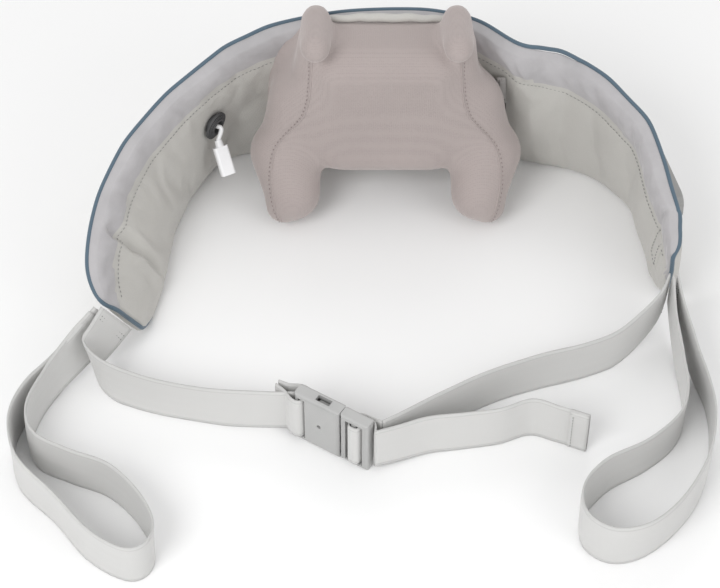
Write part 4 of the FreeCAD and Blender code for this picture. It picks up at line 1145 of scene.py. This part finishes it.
def web_frames(plan, start=None, finish=None, wave=0.0, seed=0.0, raised=0.0, step=WEB_STEP):
    """Centre, up and sideways directions along a strip, in mm, eased off its neighbours like the CAD."""
    path = smooth_path([Vector((x, y, 0)) for x, y in plan], step)
    walked = [0.0]
    for a, b in zip(path, path[1:]):
        walked.append(walked[-1] + (b - a).length)
    frames = []
    for k, point in enumerate(path):
        up, lift = UP.copy(), raised
        for held, distance in ((start, walked[k]), (finish, walked[-1] - walked[k])):
            if held:
                share = max(0.0, 1 - distance / RISE_RUN) ** 1.5
                up = up * (1 - share) + held[1].normalized() * share
                lift += held[0] * share
        run = path[min(k + 1, len(path) - 1)] - path[max(k - 1, 0)]
        ends = min(1.0, walked[k] / 30, (walked[-1] - walked[k]) / 30)
        sway = wave * ends * wander(walked[k] / 55, seed, 0)
        out = up.cross(run).normalized()
        up = (up.normalized() + out * sway).normalized()
        out = up.cross(run).normalized()
        frames.append((point + UP * (lift + WEB_WIDTH / 2), up, out, walked[k]))
    return frames


def web_strip(name, frames, body="root", width=WEB_WIDTH, thick=WEB_THICK, bow=0.0):
    """A closed strip of webbing through frames, with rounded selvedges and a weave that follows it."""
    points, uvs = [], []
    shares = np.linspace(0, 1, WEB_ACROSS)
    ring = [(-1, share) for share in shares] + [(1, share) for share in shares[::-1]]
    for place, up, out, walked in frames:
        for side, share in ring:
            height = (share - 0.5) * width
            edge = min(share, 1 - share) * width
            half = thick / 2 * (0.62 + 0.38 * min(1.0, edge / 1.4))
            curl = bow * (1 - (2 * share - 1) ** 2)
            spot = place + up * height + out * (side * half + curl)
            spot.z = max(spot.z, 0.25)
            points.append(spot * MM)
            uvs.append((walked * MM, height * MM + (FAR_SIDE if side > 0 else 0.0)))
    faces = tube_faces(len(frames), len(ring), turned=True)
    strip = add_mesh(name, points, faces, WEBBING, body=body, uvs=uvs)
    recalculate(strip)
    return strip


# Name, CAD node, plan, both ends, sway, its seed, body and bow of each strip.
WEB_STRIPS = [
    ("left_hand_loop_web", "left_hand_loop", LEFT_LOOP, LEFT_TIP, LEFT_TIP, 0.10, 1.3, "root", 0.5),
    ("right_hand_loop_web", "right_hand_loop", RIGHT_LOOP, RIGHT_TIP, RIGHT_TIP, 0.10, 4.1, "root", 0.5),
    ("left_waist_web", "left_waist_strap", LEFT_STRAP, LEFT_TIP, BUCKLE, 0.06, 7.7, "root", 0.5),
    ("right_waist_web", "right_waist_strap", RIGHT_STRAP, RIGHT_TIP, BUCKLE, 0.06, 9.2, None, 0.5),
    ("strap_tail_web", "strap_tail", STRAP_TAIL, BUCKLE, None, TAIL_SWAY, TAIL_SEED, "buckle_plug", 0.8),
]


def make_webbing():
    """Both hand loops, both waist straps and the loose tail."""
    for name, node, plan, start, finish, sway, seed, body, bow in WEB_STRIPS:
        strip = web_strip(name, web_frames(plan, start, finish, sway, seed), body=body, bow=bow)
        if not body:
            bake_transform(strip)
        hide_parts(node)


# The buckle's own frame in mm: x along it from the socket's end bar, y from front to back.
BUCKLE_START = Vector((-61, -270))
BUCKLE_ALONG = Vector((0.845, -0.535)).normalized()
# Left strap round the socket's end bar, and right strap through both slots of the plug.
LEFT_WRAP = [
    (-17, -1.6), (-8, -3.6), (-2, -6.6), (3.2, -7.0), (5.9, -4.6), (6.1, 0), (5.9, 4.6), (3, 7.0),
    (-2, 6.6), (-9, 3), (-17, 1.8),
]
RIGHT_WRAP = [
    (61.5, 9.0), (55, 8.2), (47, 7.4), (43.4, 4), (43.2, -2.5), (44.8, -6.1), (47.5, -6.4), (50.4, -6.0),
    (51.9, -2.5), (52.6, 2.5), (56, 6.2), (59.5, 4.2), (62, -0.6),
]
# Stitches across a strip, in mm off its face and in shares of its width.
THREAD_LIFT = 0.15
ROW_SHARES = np.linspace(-0.42, 0.42, 24)


def buckle_plan(plan):
    """Buckle coordinates as plan points."""
    back = Vector((-BUCKLE_ALONG.y, BUCKLE_ALONG.x))
    return [tuple(BUCKLE_START + BUCKLE_ALONG * x + back * y) for x, y in plan]


def across_rows(name, frames, distances, body="root", side=1):
    """Rows of stitches across a strip at given distances from its start, in mm."""
    for n, distance in enumerate(distances):
        place, up, out, _ = min(frames, key=lambda station: abs(station[3] - distance))
        surface_point = place + out * side * (WEB_THICK / 2 + THREAD_LIFT)
        path = [(surface_point + up * WEB_WIDTH * share) * MM for share in ROW_SHARES]
        stitches("%s_%d" % (name, n), path, [out * side] * len(path), THREAD,
                 3.0 * MM, 2.0 * MM, body=body)


def make_wraps():
    """Webbing folded round the buckle's bars, the tail's hem and the stitching that holds them."""
    left = web_frames(buckle_plan(LEFT_WRAP), raised=BUCKLE[0], step=WRAP_STEP)
    web_strip("left_wrap", left)
    across_rows("left_wrap_stitch", left, (7, 11))
    right = web_frames(buckle_plan(RIGHT_WRAP), raised=BUCKLE[0], step=WRAP_STEP)
    web_strip("right_wrap", right, body="buckle_plug")
    tail = web_frames(STRAP_TAIL, BUCKLE, None, TAIL_SWAY, TAIL_SEED)
    web_strip("tail_hem", tail[-6:], body="buckle_plug", width=WEB_WIDTH - 0.6, thick=4.2, bow=0.8)
    hem = [(place - out * 1.4, up, out, walked) for place, up, out, walked in tail]
    across_rows("tail_stitch", hem, (tail[-5][3],), body="buckle_plug", side=-1)


TIP_ENDS = [
    ("left_loop", LEFT_LOOP, LEFT_TIP),
    ("left_strap", LEFT_STRAP, LEFT_TIP),
    ("right_loop", RIGHT_LOOP, RIGHT_TIP),
    ("right_strap", RIGHT_STRAP, RIGHT_TIP),
]


def make_tip_stitches():
    """Bar tacks where the webbing is sewn to both tips."""
    for name, plan, tip in TIP_ENDS:
        frames = web_frames(plan, tip)
        for side in (-1, 1):
            across_rows("%s_tack_%d" % (name, side), frames, (5, 9), side=side)


make_webbing()
make_wraps()
make_tip_stitches()


# ---- charging lead

LEAD_RADIUS = 1.7 * MM
CONNECTOR_RUN = Vector((0.274, -0.525, -0.806))


def make_lead():
    """The short lead, out of the grommet and down into its connector."""
    low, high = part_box("connector_shell")
    entry = Vector((low.x + 4.3 * MM, high.y - 2.5 * MM, high.z - 2 * MM))
    hole = centre("cable_grommet")
    out = Vector((HUB.x - hole.x, HUB.y - hole.y, 0)).normalized()
    droop = hole + out * 7.5 * MM - UP * 1.5 * MM
    points = [hole - out * 5 * MM, hole + out * 3 * MM, droop, entry, entry + CONNECTOR_RUN * 4 * MM]
    lead = tube("lead_tube", smooth_path(points, 0.8 * MM), LEAD_RADIUS, SLOT_FINISH["white_plastic"], 16)
    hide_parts("charging_cable")


make_lead()


# ---- stage, light and camera

FLOOR_REACH = 6.0
WORLD_STRENGTH = 0.68


def matte(name, color):
    """A plain matte surface with a very faint drift of tone."""
    s = Shader(name, 0.9)
    return s.finish(s.mix(s.ramp(s.noise(s.place(), 3.0), 0.0, 0.2), color, shade(color, 0.97)))


def make_stage():
    """A pale floor that reaches past the picture."""
    mesh = bpy.data.meshes.new("floor")
    corners = [(x * FLOOR_REACH, y * FLOOR_REACH, 0) for x, y in ((-1, -1), (1, -1), (1, 1), (-1, 1))]
    mesh.from_pydata(corners, [], [[0, 1, 2, 3]])
    mesh.materials.append(matte("pale_floor", (0.93, 0.93, 0.93)))
    place_object("floor", mesh)


def add_area(name, place, target, size, power):
    """A round area light that looks at a target."""
    light = bpy.data.lights.new(name, "AREA")
    light.shape = "DISK"
    light.size = size
    light.energy = power
    lamp = place_object(name, light)
    lamp.location = place
    lamp.rotation_euler = (Vector(target) - Vector(place)).to_track_quat("-Z", "Y").to_euler()


def make_lights():
    """Soft white light all round, with a key, a fill and a back light."""
    world = bpy.data.worlds.new("studio")
    bpy.context.scene.world = world
    world.use_nodes = True
    background = world.node_tree.nodes["Background"]
    background.inputs["Color"].default_value = (1, 1, 1, 1)
    background.inputs["Strength"].default_value = WORLD_STRENGTH
    add_area("key", (-0.8, -1.3, 1.25), (0, -0.15, 0.05), 1.0, 14)
    add_area("fill", (1.2, -1.2, 0.9), (0, -0.15, 0.05), 1.2, 6)
    add_area("back", (0.1, 1.1, 1.3), (0, -0.1, 0.08), 1.0, 4)


CAMERA_TARGET = Vector((-19, -165, 25)) * MM
CAMERA_DISTANCE = 1600 * MM
CAMERA_ELEVATION = math.radians(48)
CAMERA_LENS = 112


def make_camera():
    """The photograph's view: from the front and well above."""
    camera = place_object("camera", bpy.data.cameras.new("camera"))
    away = Vector((0, -math.cos(CAMERA_ELEVATION), math.sin(CAMERA_ELEVATION)))
    camera.location = CAMERA_TARGET + away * CAMERA_DISTANCE
    camera.rotation_euler = (-away).to_track_quat("-Z", "Y").to_euler()
    camera.data.lens = CAMERA_LENS
    bpy.context.scene.camera = camera


make_stage()
make_lights()
make_camera()
bpy.context.scene.view_settings.view_transform = "Standard"
